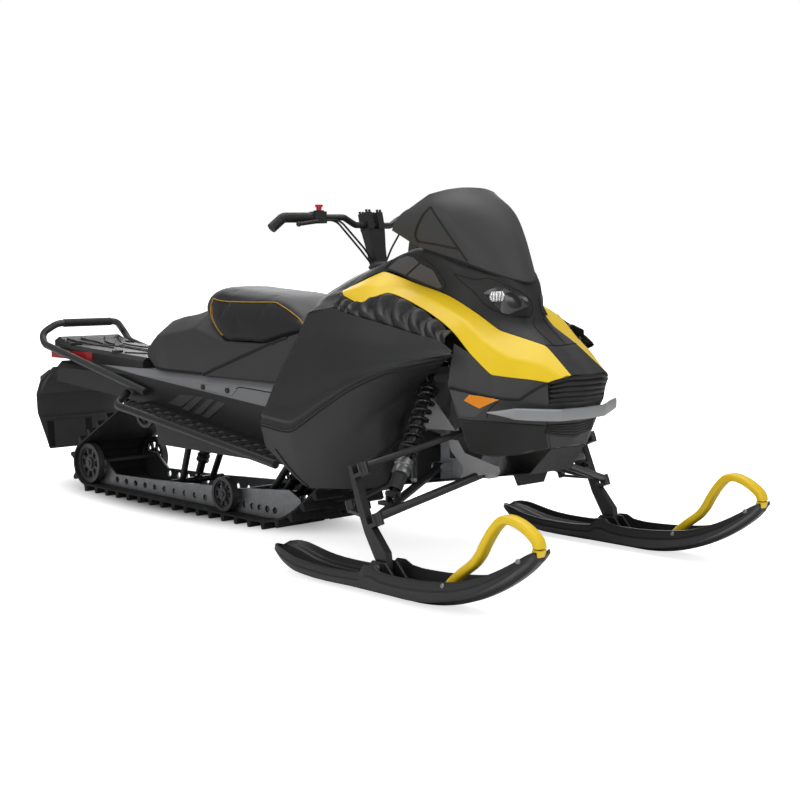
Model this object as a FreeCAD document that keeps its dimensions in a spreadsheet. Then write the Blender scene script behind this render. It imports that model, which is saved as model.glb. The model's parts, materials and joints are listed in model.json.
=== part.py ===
import FreeCAD, Part
import math
import os

import Sketcher

# A trail snowmobile, drawn in millimetres: +X forward, +Y to the rider's left, +Z up.
# The origin is on the snow, under the middle of the machine's length and width.

Vector = FreeCAD.Vector
doc = FreeCAD.newDocument("Snowmobile")
sheet = doc.addObject("Spreadsheet::Sheet", "Sizes")


class Size:
    """A length with its number and the text of the expression that gives it."""

    def __init__(self, value, text):
        self.value = float(value)
        self.text = text

    def join(self, other, sign, swap=False):
        left, right = (as_size(other), self) if swap else (self, as_size(other))
        number = {"+": left.value + right.value, "-": left.value - right.value,
                  "*": left.value * right.value, "/": left.value / (right.value or 1.0)}[sign]
        return Size(number, "(%s %s %s)" % (left.text, sign, right.text))

    def __add__(self, other): return self.join(other, "+")
    def __radd__(self, other): return self.join(other, "+", True)
    def __sub__(self, other): return self.join(other, "-")
    def __rsub__(self, other): return self.join(other, "-", True)
    def __mul__(self, other): return self.join(other, "*")
    def __rmul__(self, other): return self.join(other, "*", True)
    def __truediv__(self, other): return self.join(other, "/")
    def __neg__(self): return self.join(0, "-", True)
    def __float__(self): return self.value


def as_size(value):
    """A Size, or a plain number taken as one."""
    return value if isinstance(value, Size) else Size(value, "%.4f" % value)


SIZES = {
    # the machine as a whole
    "height": 1210, "clearance": 0.3, "seam": 0.8, "skin_wall": 4, "shield_wall": 5,
    # track and the wheels that carry it
    "track_width": 381, "lug_height": 25, "belt_thick": 7, "belt_room": 3,
    "lug_count": 48, "lug_base": 26, "lug_tip": 14,
    "rear_idler_x": -1243, "rear_idler_radius": 84, "carrier_x": -815, "carrier_z": 372, "carrier_radius": 66,
    "drive_x": 335, "drive_z": 355, "drive_radius": 90, "rail_curve_radius": 400, "ground_front_x": -80,
    "side_idler_x": -303, "side_idler_radius": 66, "idler_face": 28, "idler_offset": 160, "axle_radius": 11,
    "rail_offset": 131, "rail_thick": 9, "rail_rear_height": 50, "rail_mid_height": 90, "rail_hole_radius": 13,
    # tunnel, boards and what stands on them
    "tunnel_half": 200, "tunnel_top": 545, "tunnel_rear": -1440, "tunnel_front": 440, "tunnel_wall": 3,
    "board_outer": 345, "board_front_x": 236, "board_front_z": 285, "board_rear_x": -754, "board_rear_z": 415,
    "board_thick": 4, "board_tube_radius": 15, "board_stay_x": -873, "board_stay_z": 506,
    "flap_reach": 233, "flap_half": 215, "flap_thick": 6, "flap_bottom": 150,
    "bumper_tube_radius": 15, "bumper_top": 703, "bumper_x": -1552,
    "deck_front": -822, "deck_rear": -1500, "deck_half": 172, "deck_height": 42,
    "anchor_radius": 11, "anchor_rise": 61, "anchor_front_x": -1063, "anchor_rear_x": -1383, "anchor_half": 135,
    "seat_half": 150, "seat_low_half": 185, "seat_base_half": 192,
    # steering
    "post_base_x": 386, "post_base_z": 936, "post_rake": 13.6, "post_radius": 19, "post_height": 152,
    "bar_radius": 11, "bar_half": 398, "bar_x": 350, "bar_z": 1097, "bar_sweep": 12, "hook_length": 42,
    "cable_radius": 3.5,
    "grip_radius": 17, "grip_length": 92,
    # front suspension and skis
    "stance_half": 538.5, "eye_radius": 17, "eye_half": 12, "pin_radius": 8, "pivot_radius": 6, "pivot_eye": 14,
    "bulkhead_half": 140, "bulkhead_front": 1060, "bulkhead_rear": 820, "bulkhead_top": 600,
    "kingpin_rake": 23.2, "kingpin_top_x": 888, "kingpin_top_z": 367,
    "ski_front": 1595, "ski_curve_x": 1150, "ski_bolt_x": 984, "ski_bolt_z": 78, "ski_bolt_radius": 7,
    "ski_half": 70, "ski_deck": 40, "ski_lip": 60,
    "lower_ball_z": 222, "arm_tube_radius": 13, "lower_pivot_half": 175, "upper_pivot_half": 215,
    "lower_pivot_z": 325, "upper_pivot_z": 455, "shock_top_half": 222, "shock_top_z": 612,
    "spindle_half": 13, "spindle_back": 38, "tie_ball_x": 785, "tie_ball_half": 500, "tie_eye_radius": 13,
    "tie_rod_radius": 8, "tie_rod_end": 245, "loop_thick": 24, "loop_width": 40,
}

for row, (name, value) in enumerate(SIZES.items(), start=1):
    sheet.set("A%d" % row, name)
    sheet.set("B%d" % row, "%s" % value)
    sheet.setAlias("B%d" % row, name)
doc.recompute()


class Sheet:
    """Reads the sheet's cells by name, as sizes that can be bound."""

    def __getattr__(self, name):
        return Size(sheet.get(name), "Sizes." + name)


S = Sheet()


def number(value):
    return float(value)


def point(x, y, z):
    return Vector(number(x), number(y), number(z))


def bind(item, **sizes):
    """Ties properties of an object to expressions of the sheet."""
    for prop, size in sizes.items():
        item.setExpression(prop.replace("_", "."), as_size(size).text)


def place(item, x=0, y=0, z=0):
    """Ties an object's place to the sheet."""
    for axis, size in (("x", x), ("y", y), ("z", z)):
        if isinstance(size, Size):
            item.setExpression("Placement.Base." + axis, size.text)
        else:
            setattr(item.Placement.Base, axis, size)
    base = Vector(number(x), number(y), number(z))
    item.Placement = FreeCAD.Placement(base, item.Placement.Rotation)


# Sub-part makers

nodes = []


def keep(item, label):
    """Marks an object as a sub-part of its own."""
    item.Label = label
    nodes.append(item)
    return item


def feature(label, shape):
    """A free-form piece whose shape is worked out from the sheet."""
    item = doc.addObject("Part::Feature", label + "_form")
    item.Shape = shape
    return item


def mirrored(item):
    """The same piece on the other side of the machine."""
    twin = doc.addObject("Part::Mirroring", item.Name + "_twin")
    twin.Source = item
    twin.Normal = Vector(0, 1, 0)
    return twin


def together(items):
    """Pieces that share a node without touching."""
    group = doc.addObject("Part::Compound", items[0].Name + "_set")
    group.Links = items
    return group


def box(name, x, y, z, length, width, height):
    item = doc.addObject("Part::Box", name)
    bind(item, Length=length, Width=width, Height=height)
    place(item, x, y, z)
    return item


def plane_sketch(body, role, name):
    sketch = body.newObject("Sketcher::SketchObject", name)
    plane = [part for part in body.Origin.OriginFeatures if part.Role == role][0]
    sketch.AttachmentSupport = (plane, [""])
    sketch.MapMode = "FlatFace"
    return sketch


def outline(sketch, points):
    """A closed outline whose corners are tied to the sheet."""
    first = sketch.GeometryCount
    corners = [Vector(number(u), number(v), 0) for u, v in points]
    for index, corner in enumerate(corners):
        sketch.addGeometry(Part.LineSegment(corner, corners[(index + 1) % len(corners)]))
    for index in range(len(corners)):
        after = first + (index + 1) % len(corners)
        sketch.addConstraint(Sketcher.Constraint("Coincident", first + index, 2, after, 1))
    for index, (u, v) in enumerate(points):
        for kind, size in (("DistanceX", u), ("DistanceY", v)):
            rule = Sketcher.Constraint(kind, -1, 1, first + index, 1, number(size))
            spot = sketch.addConstraint(rule)
            if isinstance(size, Size):
                sketch.setExpression("Constraints[%d]" % spot, size.text)


def circle(sketch, u, v, radius):
    """A circle whose centre and radius are tied to the sheet."""
    at = sketch.addGeometry(Part.Circle(Vector(number(u), number(v), 0), Vector(0, 0, 1), number(radius)))
    rules = (("DistanceX", u), ("DistanceY", v))
    for kind, size in rules:
        spot = sketch.addConstraint(Sketcher.Constraint(kind, -1, 1, at, 3, number(size)))
        if isinstance(size, Size):
            sketch.setExpression("Constraints[%d]" % spot, size.text)
    spot = sketch.addConstraint(Sketcher.Constraint("Radius", at, number(radius)))
    if isinstance(radius, Size):
        sketch.setExpression("Constraints[%d]" % spot, radius.text)


def profile_body(name, role, points, length, midplane=True):
    """A body padded from a closed outline on one of its own planes."""
    body = doc.addObject("PartDesign::Body", name)
    sketch = plane_sketch(body, role, name + "_outline")
    outline(sketch, points)
    pad = body.newObject("PartDesign::Pad", name + "_pad")
    pad.Profile = sketch
    bind(pad, Length=length)
    pad.Midplane = midplane
    body.Tip = pad
    return body


def pocket(body, role, name, draw):
    """A cut right through a body, both ways from the sketch plane."""
    sketch = plane_sketch(body, role, name)
    draw(sketch)
    hole = body.newObject("PartDesign::Pocket", name + "_pocket")
    hole.Profile = sketch
    hole.Type = 1
    hole.Midplane = True
    body.Tip = hole
    return hole


def turned(name, points):
    """A body turned about the Y axis from an outline of (across, out) pairs."""
    body = doc.addObject("PartDesign::Body", name)
    sketch = plane_sketch(body, "XY_Plane", name + "_outline")
    outline(sketch, [(out, across) for across, out in points])
    turn = body.newObject("PartDesign::Revolution", name + "_turn")
    turn.Profile = sketch
    turn.ReferenceAxis = (sketch, ["V_Axis"])
    turn.Angle = 360
    body.Tip = turn
    return body


def bent_wire(points, bend):
    """Straight runs joined by arcs of one bend radius."""
    edges = []
    start = points[0]
    for before, corner, after in zip(points, points[1:], points[2:]):
        into = before.sub(corner).normalize()
        out = after.sub(corner).normalize()
        half = into.getAngle(out) / 2
        back = min(bend / math.tan(half), 0.45 * before.sub(corner).Length, 0.45 * after.sub(corner).Length)
        radius = back * math.tan(half)
        centre_way = into.add(out).normalize()
        middle = corner.add(centre_way.multiply(radius / math.sin(half) - radius))
        first = corner.add(Vector(into).multiply(back))
        last = corner.add(Vector(out).multiply(back))
        edges.append(Part.makeLine(start, first))
        edges.append(Part.Arc(first, middle, last).toShape())
        start = last
    edges.append(Part.makeLine(start, points[-1]))
    return Part.Wire(edges)


def bar(points, radius, bend):
    """A round bar bent along a route."""
    route = bent_wire(points, bend)
    way = points[1].sub(points[0])
    ring = Part.Wire(Part.makeCircle(number(radius), points[0], way))
    solid = route.makePipeShell([ring], True, False)
    if solid.Volume < 0:
        solid.reverse()
    return solid


def prism(corners, way):
    """A flat outline carried straight along a vector."""
    solid = Part.Face(Part.makePolygon(corners + corners[:1])).extrude(way)
    if solid.Volume < 0:
        flipped = corners[::-1]
        solid = Part.Face(Part.makePolygon(flipped + flipped[:1])).extrude(way)
    return solid


def station_loft(stations):
    """A solid ruled between flat outlines that stand across the X axis."""
    wires = []
    for x, corners in stations:
        ring = [point(x, y, z) for y, z in corners]
        wires.append(Part.makePolygon(ring + [ring[0]]))
    return Part.makeLoft(wires, True, True)


def core_point(spot):
    """The place inside the nose that a panel's thickness points to."""
    inner_x = min(max(spot.x, 520), 1000)
    inner_z = min(max(spot.z, 480), 760)
    return Vector(inner_x, 0, inner_z)


def facets(grid, flip):
    """Two triangles for each cell of a grid of points, split along the cell's shorter diagonal."""
    made = []
    for upper, lower in zip(grid, grid[1:]):
        for index in range(len(upper) - 1):
            a, b, c, d = upper[index], upper[index + 1], lower[index + 1], lower[index]
            if a.distanceToPoint(c) <= b.distanceToPoint(d):
                made += [(a, b, c), (a, c, d)]
            else:
                made += [(a, b, d), (b, c, d)]
    return [tri[::-1] for tri in made] if flip else made


def closed_solid(triangles):
    faces = [Part.Face(Part.makePolygon(list(tri) + [tri[0]])) for tri in triangles]
    shell = Part.makeShell(faces)
    shell.sewShape()
    solid = Part.makeSolid(shell)
    if solid.Volume < 0:
        solid.reverse()
    return solid


def inset(grid, gap):
    """Draws a grid's border in by half a panel gap."""
    rows = [[Vector(spot) for spot in row] for row in grid]

    def step(spot, mate):
        return spot.add(mate.sub(spot).normalize().multiply(gap))

    for row in rows:
        row[0], row[-1] = step(row[0], row[1]), step(row[-1], row[-2])
    rows[0] = [step(spot, mate) for spot, mate in zip(rows[0], rows[1])]
    rows[-1] = [step(spot, mate) for spot, mate in zip(rows[-1], rows[-2])]
    return rows


def panel(grid, wall, gap=None, inward=core_point):
    """A moulded panel: a grid of points on its outer skin, and its wall inside that."""
    outer = inset(grid, number(S.seam) / 2 if gap is None else gap)
    inner = []
    for row in outer:
        inner.append([spot.add(inward(spot).sub(spot).normalize().multiply(number(wall))) for spot in row])
    ring = outer[0][:-1] + [row[-1] for row in outer[:-1]] + outer[-1][:0:-1] + [row[0] for row in outer[:0:-1]]
    back = inner[0][:-1] + [row[-1] for row in inner[:-1]] + inner[-1][:0:-1] + [row[0] for row in inner[:0:-1]]
    rim = facets([ring + ring[:1], back + back[:1]], True)
    return closed_solid(facets(outer, False) + facets(inner, True) + rim)


def spots(rows):
    """Rows of (x, y, z) triples as points."""
    return [[Vector(*triple) for triple in row] for row in rows]


def across(rows):
    """Rows given from the right edge to the middle, carried over to the left edge."""
    return spots([[(x, -y, z) for x, y, z in row] + [(x, y, z) for x, y, z in row[-2::-1]] for row in rows])


def right_side(rows):
    """Rows given by distance from the middle, laid on the right side."""
    return spots([[(x, -y, z) for x, y, z in row] for row in rows])


# Track: one closed belt around the rear idlers, the carrier wheels, the drivers and the rail curve

def belt_floor():
    return number(S.lug_height) + number(S.belt_thick)


def pulley_circles():
    """The circles that the inside of the belt runs around, clockwise from the rear as seen from the right."""
    floor = belt_floor()
    room = number(S.belt_room)
    rear = number(S.rear_idler_radius) + room
    return [
        (number(S.rear_idler_x), floor + rear, rear),
        (number(S.carrier_x), number(S.carrier_z), number(S.carrier_radius) + room),
        (number(S.drive_x), number(S.drive_z), number(S.drive_radius) + room),
        (number(S.ground_front_x), floor + number(S.rail_curve_radius), number(S.rail_curve_radius)),
    ]


def tangent_turns(circles):
    """For each circle, the angles of the belt's normal where it arrives and where it leaves."""
    turns = []
    for (x1, z1, r1), (x2, z2, r2) in zip(circles, circles[1:] + circles[:1]):
        span = math.hypot(x2 - x1, z2 - z1)
        heading = math.atan2(z2 - z1, x2 - x1)
        turns.append(heading + math.acos((r1 - r2) / span))
    return turns


def belt_path(count):
    """Points and outward directions at even steps along the inside of the belt."""
    circles = pulley_circles()
    turns = tangent_turns(circles)
    pieces = []
    for index, (x, z, radius) in enumerate(circles):
        arrive = turns[index - 1]
        sweep = (arrive - turns[index]) % (2 * math.pi)
        leave = arrive - sweep
        pieces.append(("arc", x, z, radius, arrive, leave, radius * sweep))
        after = circles[(index + 1) % len(circles)]
        start = (x + radius * math.cos(leave), z + radius * math.sin(leave))
        end = (after[0] + after[2] * math.cos(leave), after[1] + after[2] * math.sin(leave))
        length = math.hypot(end[0] - start[0], end[1] - start[1])
        pieces.append(("line", start, end, leave, length))
    total = sum(piece[-1] for piece in pieces)
    path = []
    for step in range(count):
        left = total * step / count
        for piece in pieces:
            if left <= piece[-1]:
                break
            left -= piece[-1]
        if piece[0] == "arc":
            angle = piece[4] - left / piece[3]
            path.append((piece[1] + piece[3] * math.cos(angle), piece[2] + piece[3] * math.sin(angle), angle))
        else:
            share = left / piece[-1]
            x = piece[1][0] + share * (piece[2][0] - piece[1][0])
            z = piece[1][1] + share * (piece[2][1] - piece[1][1])
            path.append((x, z, piece[3]))
    return path, total


def lane(path, y_low, y_high, lugs_on, pitch):
    """One lane of the track, with a lug on every second step of the path."""
    thick = number(S.belt_thick)
    outer = []
    for index, (x, z, angle) in enumerate(path):
        out_x, out_z = math.cos(angle), math.sin(angle)
        way_x, way_z = out_z, -out_x

        def spot(along, out):
            return Vector(x + way_x * along + out_x * out, y_low, z + way_z * along + out_z * out)

        if index % 2 == lugs_on:
            base, tip = number(S.lug_base) / 2, number(S.lug_tip) / 2
            reach = thick + number(S.lug_height)
            outer += [spot(-base, thick), spot(-tip, reach), spot(tip, reach), spot(base, thick)]
        else:
            outer.append(spot(0, thick))
    inner = [Vector(x, y_low, z) for x, z, angle in path]
    rings = [Part.makePolygon(outer + outer[:1]), Part.makePolygon(inner + inner[:1])]
    face = Part.makeFace(rings, "Part::FaceMakerBullseye")
    solid = face.extrude(Vector(0, y_high - y_low, 0))
    if solid.Volume < 0:
        solid.reverse()
    return solid


def make_track():
    steps = int(number(S.lug_count)) * 2
    path, total = belt_path(steps)
    half = number(S.track_width) / 2
    third = half / 3
    lanes = [lane(path, -half, -third, 0, total / steps),
             lane(path, -third, third, 1, total / steps),
             lane(path, third, half, 0, total / steps)]
    belt = lanes[0].multiFuse(lanes[1:]).removeSplitter()
    return keep(feature("track", belt), "track")


make_track()


# Wheels of the skid frame: pairs on one shaft, turned as one piece, with spoke windows

def wheel_pair(name, radius, shaft_half, windows):
    """Two wheels on their shaft: hub, web and tyre in one outline on each side."""
    face = S.idler_face
    mid = S.idler_offset
    low, high = mid - face / 2, mid + face / 2
    web = face / 5
    points = [(-shaft_half, 0), (-shaft_half, S.axle_radius)]
    side = [(low, S.axle_radius), (low, S.axle_radius * 2.2), (mid - web, S.axle_radius * 2.2),
            (mid - web, radius * 0.8), (low, radius * 0.8), (low, radius), (high, radius),
            (high, radius * 0.8), (mid + web, radius * 0.8), (mid + web, S.axle_radius * 2.2),
            (high, S.axle_radius * 2.2), (high, S.axle_radius)]
    points += [(-across_, out) for across_, out in reversed(side)]
    points += side
    points += [(shaft_half, S.axle_radius), (shaft_half, 0)]
    body = turned(name, points)
    inner, outer = radius * 0.42, radius * 0.72
    sketch = plane_sketch(body, "XZ_Plane", name + "_window")
    narrow, wide = inner * 0.28, outer * 0.26
    outline(sketch, [(-narrow, inner), (narrow, inner), (wide, outer), (-wide, outer)])
    hole = body.newObject("PartDesign::Pocket", name + "_window_pocket")
    hole.Profile = sketch
    hole.Type = 1
    hole.Midplane = True
    fan = body.newObject("PartDesign::PolarPattern", name + "_windows")
    fan.Originals = [hole]
    fan.Axis = (sketch, ["N_Axis"])
    fan.Angle = 360
    fan.Occurrences = windows
    body.Tip = fan
    return body


def make_wheels():
    floor = S.lug_height + S.belt_thick
    rear = wheel_pair("rear_idlers", S.rear_idler_radius, S.idler_offset + S.idler_face / 2 + 4, 8)
    place(rear, S.rear_idler_x, 0, floor + S.belt_room + S.rear_idler_radius)
    side = wheel_pair("side_idlers", S.side_idler_radius, S.idler_offset + S.idler_face / 2 + 4, 8)
    place(side, S.side_idler_x, 0, floor + S.clearance + S.side_idler_radius)
    reach = S.tunnel_half - S.tunnel_wall - S.clearance
    carrier = wheel_pair("carrier_wheels", S.carrier_radius, reach, 6)
    place(carrier, S.carrier_x, 0, S.carrier_z)
    keep(together([rear, side, carrier]), "idler_wheels")


make_wheels()


def make_drive_axle():
    """The drive shaft with its two toothed drivers."""
    reach = S.tunnel_half - S.tunnel_wall - S.clearance
    root = S.drive_radius - 12
    tooth = 18
    low, high = S.rail_offset - tooth, S.rail_offset + tooth
    shaft = S.axle_radius * 1.4
    side = [(low, shaft), (low, root), (high, root), (high, shaft)]
    points = [(-reach, 0), (-reach, shaft)] + [(-across_, out) for across_, out in reversed(side)]
    points += side + [(reach, shaft), (reach, 0)]
    body = turned("drive_axle", points)
    sketch = plane_sketch(body, "XZ_Plane", "drive_tooth")
    outline(sketch, [(-9, root - 6), (9, root - 6), (5, S.drive_radius), (-5, S.drive_radius)])
    drum = body.newObject("PartDesign::Pad", "drive_tooth_pad")
    drum.Profile = sketch
    drum.Midplane = True
    bind(drum, Length=high * 2)
    fan = body.newObject("PartDesign::PolarPattern", "drive_teeth")
    fan.Originals = [drum]
    fan.Axis = (sketch, ["N_Axis"])
    fan.Angle = 360
    fan.Occurrences = 9
    body.Tip = fan
    waist_sketch = plane_sketch(body, "XY_Plane", "drive_waist")
    outline(waist_sketch, [(shaft, -low), (S.drive_radius + 5, -low), (S.drive_radius + 5, low), (shaft, low)])
    waist = body.newObject("PartDesign::Groove", "drive_waist_groove")
    waist.Profile = waist_sketch
    waist.ReferenceAxis = (waist_sketch, ["V_Axis"])
    waist.Angle = 360
    body.Tip = waist
    place(body, S.drive_x, 0, S.drive_z)
    keep(body, "drive_axle")


make_drive_axle()


def make_rails():
    """The slide rails: aluminium plates with a row of holes, curved up at the front."""
    floor = S.lug_height + S.belt_thick + 1
    curve = number(S.rail_curve_radius) - 1
    centre_x, centre_z = number(S.ground_front_x), belt_floor() + number(S.rail_curve_radius)
    bottom = [(S.rear_idler_x - 22, floor + 34), (S.rear_idler_x + 16, floor), (S.ground_front_x, floor)]
    for degrees in (8, 16, 24, 31):
        turn = math.radians(degrees)
        bottom.append((centre_x + curve * math.sin(turn), centre_z - curve * math.cos(turn)))
    top = [(S.ground_front_x + 190, floor + 92), (S.ground_front_x + 130, floor + 118),
           (S.side_idler_x + 60, floor + S.rail_mid_height), (S.side_idler_x - 260, floor + S.rail_mid_height - 18),
           (S.side_idler_x - 420, floor + S.rail_rear_height + 12), (S.rear_idler_x + 150, floor + S.rail_rear_height),
           (S.rear_idler_x + 60, floor + S.rail_rear_height + 60), (S.rear_idler_x - 22, floor + S.rail_rear_height + 60)]
    rail = profile_body("slide_rail", "XZ_Plane", bottom + top, S.rail_thick)

    def holes(sketch):
        axle = S.axle_radius + S.clearance
        circle(sketch, S.rear_idler_x, S.lug_height + S.belt_thick + S.belt_room + S.rear_idler_radius, axle)
        circle(sketch, S.side_idler_x, S.lug_height + S.belt_thick + S.clearance + S.side_idler_radius, axle)
        pitch = (S.side_idler_x - S.rear_idler_x - 320) / 9
        for index in range(10):
            circle(sketch, S.rear_idler_x + 160 + pitch * index, floor + 28, S.rail_hole_radius)
        for index in range(5):
            circle(sketch, S.side_idler_x + 90 + index * 45, floor + 32, S.rail_hole_radius)

    pocket(rail, "XZ_Plane", "rail_holes", holes)
    place(rail, 0, -S.rail_offset, 0)
    keep(together([rail, mirrored(rail)]), "slide_rails")


make_rails()


def swing_front():
    """The front swing arm: its upper cross tube's place, and how far along its foot is."""
    curve = number(S.ground_front_x)
    return curve + 140, 300, curve - 70


def swing_rear():
    return -590, 345, -700


def make_suspension_arms():
    """The two swing arms between the tunnel and the rails."""
    reach = number(S.tunnel_half) - number(S.tunnel_wall) - number(S.clearance)
    foot = number(S.rail_offset) - number(S.rail_thick) / 2 - number(S.clearance)
    rail_top = belt_floor() + number(S.rail_mid_height) - 30
    arms = []
    for label, top_x, top_z, foot_x in (("front_arm", *swing_front()), ("rear_arm", *swing_rear())):
        cross = Part.makeCylinder(13, 2 * reach, Vector(top_x, -reach, top_z), Vector(0, 1, 0))
        lower = Part.makeCylinder(12, 2 * foot, Vector(foot_x, -foot, rail_top), Vector(0, 1, 0))
        legs = []
        for side in (-1, 1):
            top = Vector(top_x, side * 95, top_z)
            low = Vector(foot_x, side * 75, rail_top)
            way = low.sub(top)
            legs.append(Part.makeCylinder(13, way.Length, top, way))
        arms.append(feature(label, cross.multiFuse([lower] + legs)))
    keep(together(arms), "skid_arms")


make_suspension_arms()


def tube_between(start, end, radius):
    way = end.sub(start)
    return Part.makeCylinder(number(radius), way.Length, start, way)


def eye_about(spot, way, half, radius, bore):
    """A ring about a pin: its outer round and its bore."""
    way = Vector(way).normalize()
    start = spot.sub(Vector(way).multiply(half))
    ring = Part.makeCylinder(radius, 2 * half, start, way)
    hole = Part.makeCylinder(bore, 4 * half, spot.sub(Vector(way).multiply(2 * half)), way)
    return ring, hole


def shock_shapes(top, bottom, body_radius, coil_radius, turns, coil_from, coil_to, pins):
    """A damper with an eye about the pin at each end, and its coil as a run of round beads."""
    way = bottom.sub(top)
    length = way.Length
    turn = FreeCAD.Rotation(Vector(0, 0, 1), way)
    wall = 7

    def lathe(pairs):
        ring = [Vector(out, 0, along) for along, out in pairs]
        face = Part.Face(Part.makePolygon(ring + ring[:1]))
        solid = face.revolve(Vector(0, 0, 0), Vector(0, 0, 1), 360)
        if solid.Volume < 0:
            solid.reverse()
        solid.Placement = FreeCAD.Placement(top, turn)
        return solid

    rod = body_radius * 0.45
    end = length - pins[1][1] - number(S.clearance)
    start = pins[0][1] + number(S.clearance)
    neck = body_radius * 0.45
    damper = lathe([(start, 0), (start, neck), (coil_from - 12, neck), (coil_from - 12, body_radius * 0.8),
                    (coil_from - 2, body_radius * 0.8),
                    (coil_from - 2, coil_radius), (coil_from, coil_radius), (coil_from, rod), (coil_to * 0.6, rod),
                    (coil_to * 0.6, body_radius), (coil_to, body_radius), (coil_to, coil_radius),
                    (coil_to + 8, coil_radius), (coil_to + 8, body_radius), (length - 34, body_radius),
                    (length - 30, neck), (end, neck), (end, 0)])
    eyes, holes = [], []
    for spot, (axis, radius) in zip((top, bottom), pins):
        ring, hole = eye_about(spot, axis, 13, radius + wall, radius + number(S.clearance))
        eyes.append(ring)
        holes.append(hole)
    damper = damper.multiFuse(eyes).cut(Part.makeCompound(holes))
    wire = (coil_to - coil_from) / (turns * 2.0)
    low, high = coil_from + number(S.clearance), coil_to - number(S.clearance)
    pitch = (high - low) / turns
    inner, outer = max(body_radius + 1.5, coil_radius - wire), coil_radius
    pairs = [(low, inner), (low, outer - wire * 0.5)]
    for index in range(turns):
        at = low + pitch * index
        pairs += [(at + pitch * 0.25, outer), (at + pitch * 0.5, outer), (at + pitch * 0.75, outer - wire * 0.7)]
    pairs += [(high, outer - wire * 0.5), (high, inner)]
    return damper, lathe(pairs)


def make_track_shocks():
    """The shock inside each swing arm, from its upper cross tube to its lower one."""
    rail_top = belt_floor() + number(S.rail_mid_height) - 30
    sideways = Vector(0, 1, 0)
    pins = [(sideways, 13), (sideways, 12)]
    made = []
    for (top_x, top_z, foot_x), reach in ((swing_front(), 190), (swing_rear(), 180)):
        made.append(shock_shapes(Vector(top_x, 0, top_z), Vector(foot_x, 0, rail_top), 16, 26, 6, 40, reach, pins))
    (front, front_coil), (rear, rear_coil) = made
    dampers = together([feature("front_track_shock", front), feature("rear_track_shock", rear)])
    coils = together([feature("front_track_coil", front_coil), feature("rear_track_coil", rear_coil)])
    keep(dampers, "track_shocks")
    keep(coils, "track_springs")


make_track_shocks()


# Tunnel, running boards and rear end

def make_tunnel():
    """The folded aluminium tunnel over the track, open below."""
    half, top, wall = S.tunnel_half, S.tunnel_top, S.tunnel_wall
    bevel = 26
    low = S.board_front_z - 30
    points = [(-half, low), (-half, top - bevel), (-half + bevel, top), (half - bevel, top), (half, top - bevel),
              (half, low), (half - wall, low), (half - wall, top - bevel - wall * 0.4),
              (half - bevel - wall * 0.4, top - wall), (-half + bevel + wall * 0.4, top - wall),
              (-half + wall, top - bevel - wall * 0.4), (-half + wall, low)]
    tunnel = profile_body("tunnel_sheet", "YZ_Plane", points, S.tunnel_front - S.tunnel_rear, False)
    place(tunnel, S.tunnel_rear, 0, 0)

    def belly_line(sketch):
        tail = S.board_rear_x - S.tunnel_rear
        outline(sketch, [(-10, 0), (tail + 130, 0), (tail + 60, S.board_rear_z - 95), (tail - 60, S.board_rear_z),
                         (-10, S.tunnel_top - 85)])

    pocket(tunnel, "XZ_Plane", "tunnel_belly_line", belly_line)
    keep(tunnel, "tunnel")


make_tunnel()


def make_running_boards():
    """Boards with snow slots, each edged by a tube that rises to the tunnel at the rear."""
    inner = number(S.tunnel_half) + number(S.clearance)
    outer = number(S.board_outer)
    front = Vector(number(S.board_front_x), 0, number(S.board_front_z))
    rear = Vector(number(S.board_rear_x), 0, number(S.board_rear_z))
    way = rear.sub(front)
    pitch = math.degrees(math.atan2(-way.z, -way.x))
    length = way.Length
    thick = number(S.board_thick)
    deck = Part.makeBox(length, outer - inner, thick)
    slots = []
    count = 14
    for row in range(3):
        for index in range(count):
            x = 30 + (length - 90) * index / (count - 1.0)
            y = 16 + row * (outer - inner - 32) / 3.0
            slots.append(Part.makeBox(34, 24, thick + 2, Vector(x, y, -1)))
    deck = deck.cut(Part.makeCompound(slots))
    place_deck = FreeCAD.Placement(Vector(rear.x, -outer, rear.z), FreeCAD.Rotation(Vector(0, 1, 0), -pitch))
    deck.Placement = place_deck
    radius = number(S.board_tube_radius)
    edge = outer
    stay = Vector(number(S.board_stay_x), -(inner + radius), number(S.board_stay_z) - 60)
    route = [Vector(front.x, -edge, front.z), Vector(rear.x, -edge, rear.z), stay]
    tube = bar(route, radius, 90)
    board = deck.fuse(tube)
    right = feature("running_board", board)
    keep(together([right, mirrored(right)]), "running_boards")


make_running_boards()


def make_flap():
    """The rubber snow flap that hangs behind the track."""
    half = S.flap_half
    rear = S.rear_idler_x - S.rear_idler_radius - S.belt_room - S.belt_thick - S.lug_height - S.flap_reach
    line = [(S.tunnel_rear - S.flap_thick, 520), (rear + 35, 452), (rear, 392), (rear + 8, 300),
            (rear + 30, S.flap_bottom)]
    back = [(as_size(x) + S.flap_thick, z) for x, z in reversed(line)]
    flap = profile_body("snow_flap_sheet", "XZ_Plane", line + back, half * 2)

    def corners(sketch):
        outline(sketch, [(-half - 5, S.flap_bottom - 5), (-half + 45, S.flap_bottom - 5), (-half - 5, 330)])
        outline(sketch, [(half + 5, S.flap_bottom - 5), (half - 45, S.flap_bottom - 5), (half + 5, 330)])

    pocket(flap, "YZ_Plane", "flap_corners", corners)
    keep(flap, "snow_flap")


make_flap()


def make_rear_bumper():
    """The rear grab bar: one bent tube around the end of the tunnel."""
    radius = number(S.bumper_tube_radius)
    half = number(S.tunnel_half) + radius + 0.6
    top = number(S.bumper_top)
    x = number(S.bumper_x)
    side = [Vector(-738, -half, 459), Vector(x + 40, -half, 615), Vector(x + 5, -half + 10, 660),
            Vector(x + 40, -150, top)]
    route = side + [Vector(p.x, -p.y, p.z) for p in reversed(side)]
    keep(feature("rear_bumper", bar(route, radius, 60)), "rear_bumper")


make_rear_bumper()


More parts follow.
